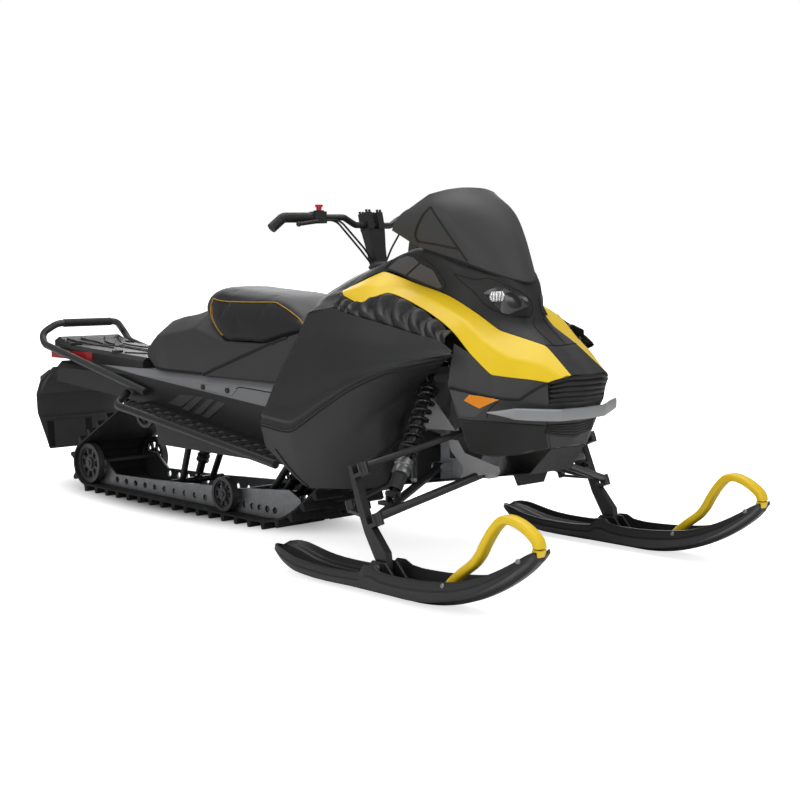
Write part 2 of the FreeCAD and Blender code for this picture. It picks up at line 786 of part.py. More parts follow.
def make_cargo_deck():
    """The moulded deck over the tunnel's rear, with four anchor sockets."""
    low = number(S.tunnel_top) + number(S.clearance)
    rise = number(S.deck_height)
    half = number(S.deck_half)
    rear, front = number(S.deck_rear), number(S.deck_front)
    stations = []
    for x, top in ((rear, low + rise + 58), (rear + 60, low + rise + 40), (rear + 150, low + rise + 24),
                   (front, low + rise)):
        bottom = low if x > number(S.tunnel_rear) else low + 30
        stations.append((x, [(-half, bottom), (half, bottom), (half, top - 14), (half - 22, top),
                             (-half + 22, top), (-half, top - 14)]))
    deck = station_loft(stations)
    sockets, bosses, clear = [], [], []
    rim = number(S.tunnel_top) + number(S.anchor_rise)
    for x in (number(S.anchor_front_x), number(S.anchor_rear_x)):
        for y in (-number(S.anchor_half), number(S.anchor_half)):
            sockets.append(Part.makeCylinder(number(S.anchor_radius), 200, Vector(x, y, low - 1)))
            bosses.append(Part.makeCylinder(number(S.anchor_radius) + 12, rim - low - 4, Vector(x, y, low + 4)))
            clear.append(Part.makeCylinder(number(S.anchor_radius) + 14, 100, Vector(x, y, rim)))
    deck = deck.multiFuse(bosses).cut(Part.makeCompound(sockets + clear))
    keep(feature("cargo_deck", deck), "cargo_deck")


make_cargo_deck()


def make_tail_light():
    """The red lamp wrapped around the rear end of the tunnel."""
    low = number(S.tunnel_top) + 12
    half = number(S.deck_half) + number(S.clearance)
    rear = number(S.deck_rear) - number(S.clearance)
    grow = 16
    outer = [Vector(rear + 300, -half, low), Vector(rear + 280, -half - grow, low), Vector(rear - 3, -half - grow, low),
             Vector(rear - grow, -half - 3, low), Vector(rear - grow, half + 3, low),
             Vector(rear - 3, half + grow, low), Vector(rear + 280, half + grow, low), Vector(rear + 300, half, low),
             Vector(rear, half, low), Vector(rear, -half, low)]
    band = prism(outer, Vector(0, 0, 34))
    keep(feature("tail_light", band), "tail_light")


make_tail_light()


# Seat

def make_seat():
    """The saddle: a firm base on the tunnel and the padded cushion on it."""
    low = number(S.tunnel_top) + number(S.clearance)
    base_half = number(S.seat_base_half)
    gap = number(S.clearance)

    def base_ring(bottom, top, half, shoulder):
        return [(-half, bottom), (half, bottom), (half, top - shoulder), (half - shoulder * 1.4, top),
                (-half + shoulder * 1.4, top), (-half, top - shoulder)]

    base = station_loft([
        (-801, base_ring(low + 42, low + 96, base_half - 30, 12)),
        (-712, base_ring(low, 740, base_half - 12, 60)),
        (-640, base_ring(low, 757, base_half, 70)),
        (-556, base_ring(low, 769, base_half, 70)),
        (-449, base_ring(low, 798, base_half, 80)),
        (-267, base_ring(low, 681, base_half, 8)),
        (-31, base_ring(low, 681, base_half, 8)),
        (211, base_ring(low, 736, base_half, 8)),
    ])
    keep(feature("seat_base", base), "seat_base")

    top_half, low_half = number(S.seat_half), number(S.seat_low_half)

    def pad_ring(bottom, top, half_low, half_top):
        return [(-half_low, bottom), (half_low, bottom), (half_low, bottom + (top - bottom) * 0.45),
                (half_top, top - 8), (half_top * 0.55, top), (-half_top * 0.55, top), (-half_top, top - 8),
                (-half_low, bottom + (top - bottom) * 0.45)]

    cushion = station_loft([
        (-452, pad_ring(800 + gap, 822, top_half - 20, top_half - 30)),
        (-405, pad_ring(770.8 + gap, 862, low_half - 25, top_half - 10)),
        (-360, pad_ring(741.9 + gap, 874, low_half - 10, top_half)),
        (-267, pad_ring(681.5 + gap, 870, low_half, top_half)),
        (-31, pad_ring(681 + gap, 856, low_half, top_half)),
        (70, pad_ring(704.6 + gap, 840, low_half, top_half)),
        (148, pad_ring(721.7 + gap, 800, low_half, top_half)),
        (208, pad_ring(735.5 + gap, 752, low_half, low_half - 20)),
    ])
    keep(feature("seat_cushion", cushion), "seat_cushion")


make_seat()


# Bodywork of the nose, each panel hung from the character lines it shares with its neighbours

HOOD_EDGE = [(448, 220, 880), (583, 165, 941), (740, 163, 902), (882, 160, 865), (990, 148, 812), (1062, 130, 766),
             (1130, 102, 744), (1196, 74, 722), (1309, 84, 639)]
HOOD_SIDE = [(462, 165, 925), (590, 152, 966), (740, 164, 960), (892, 153, 922), (986, 118, 868), (1036, 104, 802),
             (1115, 70, 763), (1196, 50, 721), (1311, 52, 638)]
HOOD_SHOULDER = [(475, 110, 953), (602, 130, 989), (739, 161, 1018), (905, 142, 972), (1040, 84, 922), (1094, 36, 836),
                 (1110, 30, 788), (1195, 28, 718), (1312, 26, 637)]
HOOD_SPINE = [(470, 0, 962), (600, 0, 996), (745, 0, 1030), (925, 0, 984), (1066, 0, 908), (1096, 0, 846), (1112, 0, 790),
              (1194, 0, 716), (1312, 0, 636)]
YELLOW_LOW = [(492, 260, 861), (594, 288, 840), (705, 270, 876), (860, 268, 832), (1000, 270, 760), (1060, 264, 702),
              (1136, 250, 640), (1230, 178, 626), (1265, 140, 617)]
YELLOW_MID = [(466, 248, 874), (578, 232, 897), (722, 228, 893), (872, 226, 853), (1004, 226, 796), (1078, 216, 738),
              (1160, 194, 690), (1236, 130, 668), (1292, 112, 630)]


def lamp_prism(shrink):
    """The headlamp's outline seen from the front, carried through the hood."""
    ring = [(-143 + shrink * 3, 916 - shrink), (-112, 908 - shrink), (-78, 886 - shrink), (-22 - shrink, 842),
            (-22 - shrink, 812 + shrink), (-56, 806 + shrink), (-98 + shrink, 816 + shrink)]
    return prism([Vector(880, y, z) for y, z in ring], Vector(260, 0, 0))


def hood_shell(wall=S.skin_wall):
    rows = [list(row) for row in zip(HOOD_EDGE, HOOD_SIDE, HOOD_SHOULDER, HOOD_SPINE)]
    return panel(across(rows), wall)


def make_hood():
    """The black cover from the console to the nose, and the yellow panel on each side of it."""
    hood = hood_shell()
    opening = lamp_prism(0)
    keep(feature("hood", hood.cut([opening, opening.mirror(Vector(0, 0, 0), Vector(0, 1, 0))])), "hood")
    rows = [list(row) for row in zip(YELLOW_LOW, YELLOW_MID, HOOD_EDGE)]
    right = feature("hood_panel_right", panel(right_side(rows), S.skin_wall))
    keep(together([right, mirrored(right)]), "hood_panels")


make_hood()

SIDE_TOP = [(391, 330, 804), (510, 322, 825), (583, 330, 811), (740, 335, 785), (897, 340, 758), (1022, 335, 732),
            (1055, 331, 711)]
SIDE_HIGH = [(387, 370, 714), (480, 372, 730), (590, 382, 722), (740, 384, 712), (880, 376, 700), (1008, 350, 702),
             (1056, 333, 704)]
SIDE_CREASE = [(251, 424, 436), (412, 432, 428), (560, 428, 508), (690, 422, 580), (830, 396, 640), (960, 365, 672),
               (1058, 334, 696)]
SIDE_MID = [(256, 418, 394), (425, 405, 330), (550, 405, 372), (650, 386, 425), (745, 352, 500), (822, 318, 560),
            (900, 284, 622)]
SIDE_LOW = [(262, 410, 354), (438, 372, 232), (530, 350, 236), (620, 330, 244), (720, 292, 262), (752, 270, 400),
            (800, 255, 545)]


def make_side_panels():
    """The side panel over the engine and the lower panel below its crease."""
    for label, lines in (("side_panel", (SIDE_TOP, SIDE_HIGH, SIDE_CREASE)),
                         ("lower_panel", (SIDE_CREASE, SIDE_MID, SIDE_LOW))):
        rows = [list(row) for row in zip(*lines)]
        right = feature(label + "_right", panel(right_side(rows), S.skin_wall))
        keep(together([right, mirrored(right)]), label + "s")


make_side_panels()


def between(line, share):
    """The spot at a share of the way along a line of spots, each step counted alike."""
    place_ = share * (len(line) - 1)
    step = min(int(place_), len(line) - 2)
    return line[step].add(line[step + 1].sub(line[step]).multiply(place_ - step))


def pushed(spot, depth):
    """A spot moved away from the middle of the nose."""
    return spot.add(spot.sub(core_point(spot)).normalize().multiply(depth))


def make_vents():
    """The panel between the hood panels and the side panels: ribs that lean back at half their height."""
    low, high = right_side([SIDE_TOP[1:6], YELLOW_LOW[:5]])
    ribs, depth, lean = 8, 13, 0.5
    lines = [(rib + phase, raised) for rib in range(ribs) for phase, raised in ((0, 0), (0.33, 1), (0.66, 0))]
    grid = []
    for along, raised in lines + [(ribs, 0)]:
        row = []
        for rise, full in ((0, 0), (0.12, 1), (0.5, 1), (0.88, 1), (1, 0)):
            share = (along - lean * math.sin(math.pi * rise) * min(1, along, ribs - along)) / ribs
            foot, head = between(low, share), between(high, share)
            spot = foot.add(head.sub(foot).multiply(rise))
            row.append(pushed(spot, depth * raised * full))
        grid.append(row)
    right = feature("side_vent", panel(grid, S.skin_wall))
    keep(together([right, mirrored(right)]), "side_vents")


make_vents()

FASCIA_TOP = [(1030, 300, 731), (1060, 264, 702), (1136, 250, 640), (1230, 178, 626), (1265, 140, 617)]
FASCIA_MID = [(1004, 300, 604), (1082, 276, 590), (1150, 248, 576), (1216, 186, 563), (1262, 130, 552)]
FASCIA_LOW = [(1044, 296, 506), (1090, 280, 508), (1137, 252, 512), (1200, 186, 502), (1240, 110, 492)]
FASCIA_FOOT = [(1060, 262, 402), (1085, 245, 394), (1115, 224, 386), (1168, 160, 392), (1232, 84, 412)]


def fascia_centre():
    """The fascia's middle panel, under the grille."""
    middle = spots([[(1262, -130, 552), (1283, 0, 551), (1262, 130, 552)],
                    [(1240, -110, 492), (1262, 0, 490), (1240, 110, 492)],
                    [(1232, -84, 412), (1244, 0, 416), (1232, 84, 412)]])
    return panel(middle, S.skin_wall)


def make_fascia():
    """The dark nose below the yellow panels, and the grille between them."""
    rows = [list(row) for row in zip(FASCIA_TOP, FASCIA_MID, FASCIA_LOW, FASCIA_FOOT)]
    right = feature("nose_fascia_right", panel(right_side(rows), S.skin_wall))
    centre = feature("nose_fascia_centre", fascia_centre())
    keep(together([right, mirrored(right), centre]), "nose_fascia")
    rows = [[(1265, 140, 617), (1292, 112, 630), (1309, 84, 639), (1312, 0, 636)],
            [(1264, 135, 590), (1284, 108, 592), (1296, 80, 594), (1304, 0, 594)],
            [(1262, 130, 552), (1266, 104, 552), (1271, 76, 551), (1283, 0, 551)]]
    columns = [list(column) for column in zip(*across(rows))]
    slats, depth = 5, 9
    lines = [(slat + phase, sunk) for slat in range(slats) for phase, sunk in ((0, 1), (0.25, 0), (0.75, 0))]
    grid = []
    for along, sunk in [(0, 0)] + lines[1:] + [(slats, 0)]:
        grid.append([pushed(between(column, along / slats), -depth * sunk) for column in columns])
    keep(feature("grille", panel(grid, S.skin_wall)), "grille")


make_fascia()


def make_windshield():
    """The deep dark windshield: a bowl with a pointed lower edge and swept wings."""
    low = [(690, 232, 1072), (739, 162, 1019.5), (905, 143, 973.5), (1041, 85, 923.5), (1067, 0, 909.5)]
    mid = [(712, 238, 1100), (806, 182, 1100), (902, 150, 1078), (985, 62, 1050), (1004, 0, 1051)]
    high = [(742, 214, 1137), (806, 180, 1139), (880, 128, 1142), (914, 60, 1146), (920, 0, 1146)]
    top = [(744, 210, 1139), (788, 162, 1185), (812, 112, 1200), (826, 56, 1208), (832, 0, 1210)]
    share = (number(S.height) - low[-1][2]) / (top[-1][2] - low[-1][2])

    def stood_up(row):
        """A line of the bowl, moved away from its foot by the share of the drawn height."""
        return [tuple(foot + (end - foot) * share for foot, end in zip(*pair)) for pair in zip(low, row)]

    rows = [stood_up(row) for row in (top, high, mid, low)]

    def behind(spot):
        return Vector(spot.x - 240, 0, spot.z + min(30, 0.8 * (number(S.height) - spot.z)))

    shield = panel(across(rows), S.shield_wall, gap=0, inward=behind)
    keep(feature("windshield", shield), "windshield")


make_windshield()


def make_front_bumper():
    """The silver bumper bar around the nose, on two stubs that stand on the fascia."""
    line = [(1150, 300, 527), (1185, 295, 526), (1288, 102, 519), (1292, 0, 518)]
    rows = [[(x, y, z + 19) for x, y, z in line], [(x + 8, y + 3, z) for x, y, z in line],
            [(x, y, z - 19) for x, y, z in line]]

    def behind(spot):
        return Vector(1000, 0, spot.z)

    bumper = panel(across(rows), 10, gap=0, inward=behind)
    centre = fascia_centre()
    centre.translate(Vector(number(S.clearance), 0, 0))
    stubs = []
    for y in (-60, 60):
        stub = Part.makeBox(60, 24, 18, Vector(1232, y - 12, 508)).cut(centre)
        stubs.append(max(stub.Solids, key=lambda solid: solid.CenterOfMass.x))
    keep(feature("front_bumper", bumper.multiFuse(stubs)), "front_bumper")


make_front_bumper()


BELLY = [(1227, 82, 407), (1160, 100, 326), (1087, 112, 316), (820, 225, 274), (720, 292, 262), (620, 330, 244),
         (530, 350, 236), (438, 372, 232)]


def make_belly():
    """The belly pan, from the nose's lower edge back to the lower panels."""
    rows = [[(x, y, z), (x, 0, z)] for x, y, z in BELLY]

    def above(spot):
        return Vector(spot.x, spot.y * 0.8, spot.z + 60)

    keep(feature("belly_pan", panel(across(rows), S.skin_wall, inward=above)), "belly_pan")


def belly_top(x):
    """The height of the belly pan's inner face at a place along the machine."""
    for (x1, y1, z1), (x2, y2, z2) in zip(BELLY, BELLY[1:]):
        if x2 <= x <= x1:
            return z2 + (z1 - z2) * (x - x2) / (x1 - x2) + number(S.skin_wall)


make_belly()


def make_engine():
    """One plain block in the engine's place, standing on the belly pan."""
    front, long, half = 765, 295, 190
    floor = belly_top(front) + number(S.clearance)
    block = box("engine_block", front - long, -half, floor, long, 2 * half, 320)
    keep(block, "engine")


make_engine()


def clevis(spot, half, reach_in):
    """Two tabs and a pin along the machine that hold an eye at a spot on the right side."""
    pivot, eye = number(S.pivot_radius), number(S.pivot_eye)
    gap, tab = number(S.clearance), 7
    shapes = [Part.makeCylinder(pivot, 2 * (half + gap + tab), spot.add(Vector(-half - gap - tab, 0, 0)),
                                Vector(1, 0, 0))]
    for x in (spot.x - half - gap - tab, spot.x + half + gap):
        shapes.append(Part.makeCylinder(eye, tab, Vector(x, spot.y, spot.z), Vector(1, 0, 0)))
        shapes.append(Part.makeBox(tab, reach_in - spot.y, 2 * eye, Vector(x, spot.y, spot.z - eye)))
    return shapes


def arm_pivots():
    """The inner pivots of the lower and the upper arm: (half length of the eye, place)."""
    lower = [Vector(x, -number(S.lower_pivot_half), number(S.lower_pivot_z)) for x in (1040, 850)]
    upper = [Vector(x, -number(S.upper_pivot_half), number(S.upper_pivot_z)) for x in (1000, 800)]
    return lower, upper


def shock_ends():
    """The pins of the front shock: on the bulkhead and on the lower arm."""
    top = Vector(870, -number(S.shock_top_half), number(S.shock_top_z))
    return top, Vector(925, -450, lower_arm_height(-450) + 31)


def lower_arm_height(y):
    """The height of the lower arm's tubes at a distance from the middle."""
    share = (-y - number(S.lower_pivot_half)) / (number(S.stance_half) - number(S.lower_pivot_half))
    return number(S.lower_pivot_z) + share * (number(S.lower_ball_z) - number(S.lower_pivot_z))


def make_bulkhead():
    """The front frame: a plate box on the belly pan, with tabs and pins for the arms and the shocks."""
    half, gap = number(S.bulkhead_half), number(S.clearance)
    front, rear, top = number(S.bulkhead_front), number(S.bulkhead_rear), number(S.bulkhead_top)
    lift, back = gap + 0.6, rear - 48
    side = [(rear, belly_top(rear) + lift), (front, belly_top(front) + lift), (front + 30, 420), (front - 50, top),
            (rear + 20, top + 40), (back, top + 40), (back, 432), (rear, 424)]
    plate = prism([Vector(x, -half, z) for x, z in side], Vector(0, 2 * half, 0))
    window = prism([Vector(x, -half - 1, z) for x, z in ((rear + 40, 350), (front - 60, 362), (front - 40, 430),
                                                        (front - 80, top - 60), (rear + 40, top - 40))],
                   Vector(0, 2 * half + 2, 0))
    inside = Part.makeBox(front - rear - 16, 2 * half - 16, 1000, Vector(rear + 8, -half + 8, 336))
    shell = plate.cut(window).cut(inside)
    lower, upper = arm_pivots()
    tabs = []
    for spot in lower + upper:
        tabs += clevis(spot, 17, -half + 2)
    tabs += clevis(shock_ends()[0], 13, -half + 2)
    tabs += [tab.mirror(Vector(0, 0, 0), Vector(0, 1, 0)) for tab in tabs]
    keep(feature("bulkhead", shell.multiFuse(tabs)), "bulkhead")


make_bulkhead()


# Front suspension arms and their shocks

def kingpin_x(z):
    return number(S.kingpin_top_x) + (number(S.kingpin_top_z) - z) * math.tan(math.radians(number(S.kingpin_rake)))


def kingpin_way():
    rake = math.radians(number(S.kingpin_rake))
    return Vector(-math.sin(rake), 0, math.cos(rake))


def kingpin_spot(z):
    return Vector(kingpin_x(z), -number(S.stance_half), z)


def arm_shape(outer, inners, radius):
    """A triangular arm: an eye about the kingpin, two tubes and an eye at each inner pivot."""
    gap = number(S.clearance)
    ring, bore = eye_about(outer, kingpin_way(), number(S.eye_half), number(S.eye_radius), number(S.pin_radius) + gap)
    solids, bores = [ring], [bore]
    for inner in inners:
        solids.append(tube_between(outer, inner, radius))
        ring, bore = eye_about(inner, Vector(1, 0, 0), 17, number(S.pivot_eye), number(S.pivot_radius) + gap)
        solids.append(ring)
        bores.append(bore)
    return solids, bores


def make_arms():
    """The suspension arms, from the bulkhead's pins to the kingpins."""
    tube = number(S.arm_tube_radius)
    lower_pivots, upper_pivots = arm_pivots()
    solids, bores = arm_shape(kingpin_spot(number(S.lower_ball_z)), lower_pivots, tube)
    foot = shock_ends()[1]
    pin = number(S.pivot_radius)
    level = Vector(0, foot.y, lower_arm_height(foot.y))
    solids.append(Part.makeCylinder(pin, 60, foot.add(Vector(-30, 0, 0)), Vector(1, 0, 0)))
    rear_x = foot.x - 13 - number(S.clearance) - 8
    front_x = foot.x + 13 + number(S.clearance)
    for x in (rear_x, front_x):
        solids.append(Part.makeBox(8, 24, foot.z - level.z + 10, Vector(x, foot.y - 12, level.z)))
    solids.append(Part.makeBox(110, 24, 12, Vector(foot.x - 55, foot.y - 12, level.z - 6)))
    lower = solids[0].multiFuse(solids[1:]).cut(Part.makeCompound(bores))
    solids, bores = arm_shape(kingpin_spot(number(S.kingpin_top_z)), upper_pivots, tube - 3)
    upper = solids[0].multiFuse(solids[1:]).cut(Part.makeCompound(bores))
    for label, shape in (("lower_arm", lower), ("upper_arm", upper)):
        right = feature(label, shape)
        keep(together([right, mirrored(right)]), label + "s")


make_arms()


def make_front_shocks():
    top, bottom = shock_ends()
    along = Vector(1, 0, 0)
    pins = [(along, number(S.pivot_radius)), (along, number(S.pivot_radius))]
    damper, coil = shock_shapes(top, bottom, 18, 32, 8, 40, 250, pins)
    right = feature("front_shock", damper)
    keep(together([right, mirrored(right)]), "front_shocks")
    right = feature("front_spring", coil)
    keep(together([right, mirrored(right)]), "front_springs")


make_front_shocks()


# Skis, spindles and tie rods

TIP_RUN = 445


def tip_x(back):
    """A place on the upswept tip, drawn back from its end over TIP_RUN and stretched to the ski's length."""
    front = number(S.ski_front)
    return front - back * (front - number(S.ski_curve_x)) / TIP_RUN


def make_ski():
    """A moulded ski: keel, running surface, deck and raised lips, swept up at both ends."""
    half, deck, lip = number(S.ski_half), number(S.ski_deck), number(S.ski_lip)
    side = -number(S.stance_half)
    stations = []
    for x, base, width, scale in ((512, 60, 0.45, 0.5), (556, 36, 0.86, 0.75), (640, 6, 1.0, 1.0), (690, 0, 1.0, 1.0),
                                  (tip_x(TIP_RUN), 0, 1.0, 1.0), (tip_x(345), 12, 1.0, 1.0),
                                  (tip_x(245), 40, 0.97, 0.95), (tip_x(145), 86, 0.92, 0.85),
                                  (tip_x(65), 138, 0.78, 0.7), (tip_x(11), 190, 0.55, 0.5)):
        b = half * width
        profile = [(-14, 0), (14, 0), (20, 16 * scale), (b, 20 * scale), (b + 3, lip * scale), (b - 6, lip * scale),
                   (b - 12, deck * scale), (-b + 12, deck * scale), (-b + 6, lip * scale), (-b - 3, lip * scale),
                   (-b, 20 * scale), (-20, 16 * scale)]
        stations.append((x, [(side + y, base + z) for y, z in profile]))
    blade = station_loft(stations)
    foot = number(S.spindle_half) + 5
    cheeks = []
    bolt_x, bolt_z = number(S.ski_bolt_x), number(S.ski_bolt_z)
    for way in (-1, 1):
        start = side + (foot if way > 0 else -foot - 9)
        ring = [Vector(bolt_x - 90, start, deck - 2), Vector(bolt_x + 90, start, deck - 2),
                Vector(bolt_x + 30, start, bolt_z + 20), Vector(bolt_x - 30, start, bolt_z + 20)]
        cheeks.append(prism(ring, Vector(0, 9, 0)))
    pin = Part.makeCylinder(number(S.ski_bolt_radius), 2 * foot + 26, Vector(bolt_x, side - foot - 13, bolt_z),
                            Vector(0, 1, 0))
    ski = blade.multiFuse(cheeks + [pin])
    right = keep(feature("ski_right", ski), "ski_right")
    keep(mirrored(right), "ski_left")


make_ski()


def make_ski_loop():
    """The hand loop over the ski's front."""
    thick = number(S.loop_thick)
    outer = [(351, 52.4), (331, 98), (143, 294), (117, 300), (6, 250), (0, 236), (12, 211.2)]
    inner = [(36, 191.4), (27, 226), (119, 300 - thick), (131, 296 - thick), (305, 96), (321, 59.2)]
    side = -number(S.stance_half) - number(S.loop_width) / 2
    ring = [Vector(tip_x(back), side, z) for back, z in outer + inner]
    loop = prism(ring, Vector(0, number(S.loop_width), 0))
    right = keep(feature("ski_loop_right", loop), "ski_loop_right")
    keep(mirrored(right), "ski_loop_left")


make_ski_loop()


def axes_matrix(x_way, y_way, z_way, spot):
    """A placement's matrix from its three axes and its base."""
    return FreeCAD.Matrix(x_way.x, y_way.x, z_way.x, spot.x, x_way.y, y_way.y, z_way.y, spot.y,
                          x_way.z, y_way.z, z_way.z, spot.z, 0, 0, 0, 1)


def steering_arm(root, tip, up, thick):
    """A flat arm between two spots, as deep along the kingpin as its thickness."""
    way = tip.sub(root)
    across_ = way.cross(up).normalize().multiply(11)
    ring = [root.add(across_), tip.add(across_), tip.sub(across_), root.sub(across_)]
    return prism(ring, Vector(up).multiply(thick))


def tie_rod_ends():
    """The eye on the steering arm and the open inner end."""
    start = Vector(number(S.tie_ball_x), -number(S.tie_ball_half), 236)
    return start, Vector(start.x, -number(S.tie_rod_end), 307)


def make_spindle():
    """The forged leg behind the kingpin line: two lugs with their pins, the ski's eye and the steering arm."""
    half, back = number(S.spindle_half), number(S.spindle_back)
    gap, eye_half, lug = number(S.clearance), number(S.eye_half), 12
    side = -number(S.stance_half)
    top_z, low_z = number(S.kingpin_top_z), number(S.lower_ball_z)
    bolt_x, bolt_z = number(S.ski_bolt_x), number(S.ski_bolt_z)
    bore = number(S.ski_bolt_radius) + gap
    ring = [(kingpin_x(top_z) - back, top_z), (kingpin_x(low_z - 20) - back, low_z - 20),
            (kingpin_x(low_z - 34) - back + 14, low_z - 34), (bolt_x + 14, 124),
            (bolt_x + 22, bolt_z), (bolt_x + 14, bolt_z - 20), (bolt_x - 14, bolt_z - 20), (bolt_x - 24, bolt_z + 10),
            (kingpin_x(170) - back - 26, 170), (kingpin_x(250) - back - 28, 250), (kingpin_x(top_z) - back - 16, top_z)]
    leg = prism([Vector(x, side - half, z) for x, z in ring], Vector(0, 2 * half, 0))
    eye = Part.makeCylinder(bore, 6 * half, Vector(bolt_x, side - 3 * half, bolt_z), Vector(0, 1, 0))
    up = kingpin_way()
    out = Vector(-up.z, 0, up.x)
    parts = []
    for z in (top_z, low_z):
        centre = kingpin_spot(z)
        under = centre.sub(Vector(up).multiply(eye_half + gap + lug))
        parts.append(Part.makeCylinder(number(S.pin_radius), 2 * eye_half + gap + lug, under, up))
        parts.append(Part.makeCylinder(number(S.eye_radius) - 1, lug, under, up))
        plate = Part.makeBox(back + 14, 2 * half, lug)
        corner = under.add(Vector(0, half, 0))
        plate.Placement = FreeCAD.Placement(axes_matrix(out, Vector(0, -1, 0), up, corner))
        parts.append(plate)
    rod = tie_rod_ends()[0]
    arm_low = eye_half + gap + lug
    foot = rod.sub(Vector(up).multiply(arm_low))
    parts.append(Part.makeCylinder(number(S.tie_eye_radius), lug, foot, up))
    parts.append(Part.makeCylinder(number(S.pivot_radius), arm_low + eye_half, foot, up))
    root = Vector(kingpin_x(foot.z) - back - 10, side, foot.z + 1)
    parts.append(steering_arm(root, foot.add(Vector(0, 0, 1)), up, lug - 2))
    leg = leg.cut(eye).multiFuse(parts)
    right = keep(feature("spindle_right", leg), "spindle_right")
    keep(mirrored(right), "spindle_left")


make_spindle()


def make_tie_rod():
    """The rod from the steering arm inwards, left open where the steering linkage would join it."""
    start, end = tie_rod_ends()
    gap = number(S.clearance)
    ring, bore = eye_about(start, kingpin_way(), number(S.eye_half), number(S.tie_eye_radius),
                           number(S.pivot_radius) + gap)
    rod = tube_between(start, end, S.tie_rod_radius)
    right = keep(feature("tie_rod_right", rod.fuse(ring).cut(bore)), "tie_rod_right")
    keep(mirrored(right), "tie_rod_left")


make_tie_rod()


def post_point(along, y=0.0, ahead=0.0):
    """A point by its distance up the post from its base."""
    rake = math.radians(number(S.post_rake))
    up_x, up_z = -math.sin(rake), math.cos(rake)
    return Vector(number(S.post_base_x) + up_x * along + ahead * up_z, y, number(S.post_base_z) + up_z * along - ahead * up_x)


def make_console():
    """The cover behind the hood, with the hole that the steering post comes out of."""
    rows = [[(213, 201, 738), (213, 188, 748), (213, 170, 762), (212, 150, 776), (212, 120, 792), (211, 80, 805),
             (210, 0, 812)],
            [(318, 274, 775), (325, 262, 806), (328, 248, 826), (330, 225, 845), (332, 180, 872), (332, 120, 898),
             (330, 0, 916)],
            [(391, 327, 806), (408, 280, 842), (414, 258, 862), (416, 228, 876), (420, 170, 908), (424, 115, 936),
             (422, 0, 948)],
            [(508, 320, 826), YELLOW_LOW[0], YELLOW_MID[0], HOOD_EDGE[0], HOOD_SIDE[0], HOOD_SHOULDER[0],
             HOOD_SPINE[0]]]
    cover = panel(across(rows), S.skin_wall)
    up = post_point(1).sub(post_point(0))
    hole = Part.makeCylinder(number(S.post_radius) + 0.6, 200, post_point(-100), up)
    collar = Part.makeCone(46, 30, 88, post_point(-60), up)
    keep(feature("console", cover.fuse(collar).cut(hole)), "console")


def make_tank_cover():
    """The side covers between the seat base and the side panels."""
    half = number(S.tunnel_half)
    low = number(S.tunnel_top) + 2
    rows = [[(-377, half, low + 5), (-31, half, 668), (205, half, 729), (314, 270, 766), (386, 322, 796)],
            [(-377, half, low), (-31, half, low), (205, half, low), (314, 270, low), (386, 322, low)]]

    def towards_middle(spot):
        return Vector(spot.x, spot.y + 100, spot.z)

    grid = [row[::-1] for row in right_side(rows)]
    right = feature("tank_cover_right", panel(grid, half - number(S.seat_base_half) - number(S.clearance),
                                              inward=towards_middle))
    keep(together([right, mirrored(right)]), "tank_cover")


def make_headlamps():
    """Lenses let into the hood's face, flush with it."""
    face = hood_shell(number(S.skin_wall) * 1.6)
    right = feature("headlamp_right", face.common(lamp_prism(number(S.seam) / 2)))
    keep(together([right, mirrored(right)]), "headlamps")


def make_reflectors():
    """The amber marker on each side of the nose."""
    ring = [(1062, 560), (1078, 578), (1168, 570), (1110, 538)]
    tool = prism([Vector(x, -400, z) for x, z in ring], Vector(0, 400, 0))
    rows = [list(row) for row in zip(FASCIA_TOP, FASCIA_MID, FASCIA_LOW, FASCIA_FOOT)]
    proud = [[spot.add(Vector(1.5, -2.5, 0)) for spot in row] for row in right_side(rows)]
    plate = panel(proud, 2.2).common(tool)
    plate = plate.cut(panel(right_side(rows), number(S.skin_wall)))
    plate = max(plate.Solids, key=lambda solid: solid.Volume)
    right = feature("reflector_right", plate)
    keep(together([right, mirrored(right)]), "reflectors")


def make_display():
    """The gauge behind the windshield."""
    ring = [Vector(585, -62, 985), Vector(640, -62, 985), Vector(622, -62, 1068), Vector(600, -62, 1072)]
    hood = hood_shell()
    hood.translate(Vector(0, 0, number(S.clearance)))
    body = prism(ring, Vector(0, 124, 0)).cut(hood)
    keep(feature("display", max(body.Solids, key=lambda solid: solid.CenterOfMass.z)), "display")


def make_sway_bar():
    """The torsion bar behind the bulkhead, its ends resting on the rear tubes of the lower arms."""
    radius = 8
    touch = number(S.bulkhead_rear) - radius - number(S.clearance)
    level = 400
    y = -330
    outer, inner = kingpin_spot(number(S.lower_ball_z)), arm_pivots()[0][1]
    share = (y - outer.y) / (inner.y - outer.y)
    on_tube = outer.add(inner.sub(outer).multiply(share))
    rise = number(S.arm_tube_radius) + radius + 2 + 2 * number(S.clearance)
    rise = rise / math.cos(math.atan2(inner.z - outer.z, inner.y - outer.y))
    end = Vector(on_tube.x, y, on_tube.z + rise)
    side = [end, Vector(touch, -262, level - 20), Vector(touch, -170, level)]
    route = side + [Vector(p.x, -p.y, p.z) for p in reversed(side)]
    balls = [Part.makeSphere(radius + 2, end), Part.makeSphere(radius + 2, Vector(end.x, -end.y, end.z))]
    keep(feature("sway_bar", bar(route, radius, 30).multiFuse(balls)), "sway_bar")


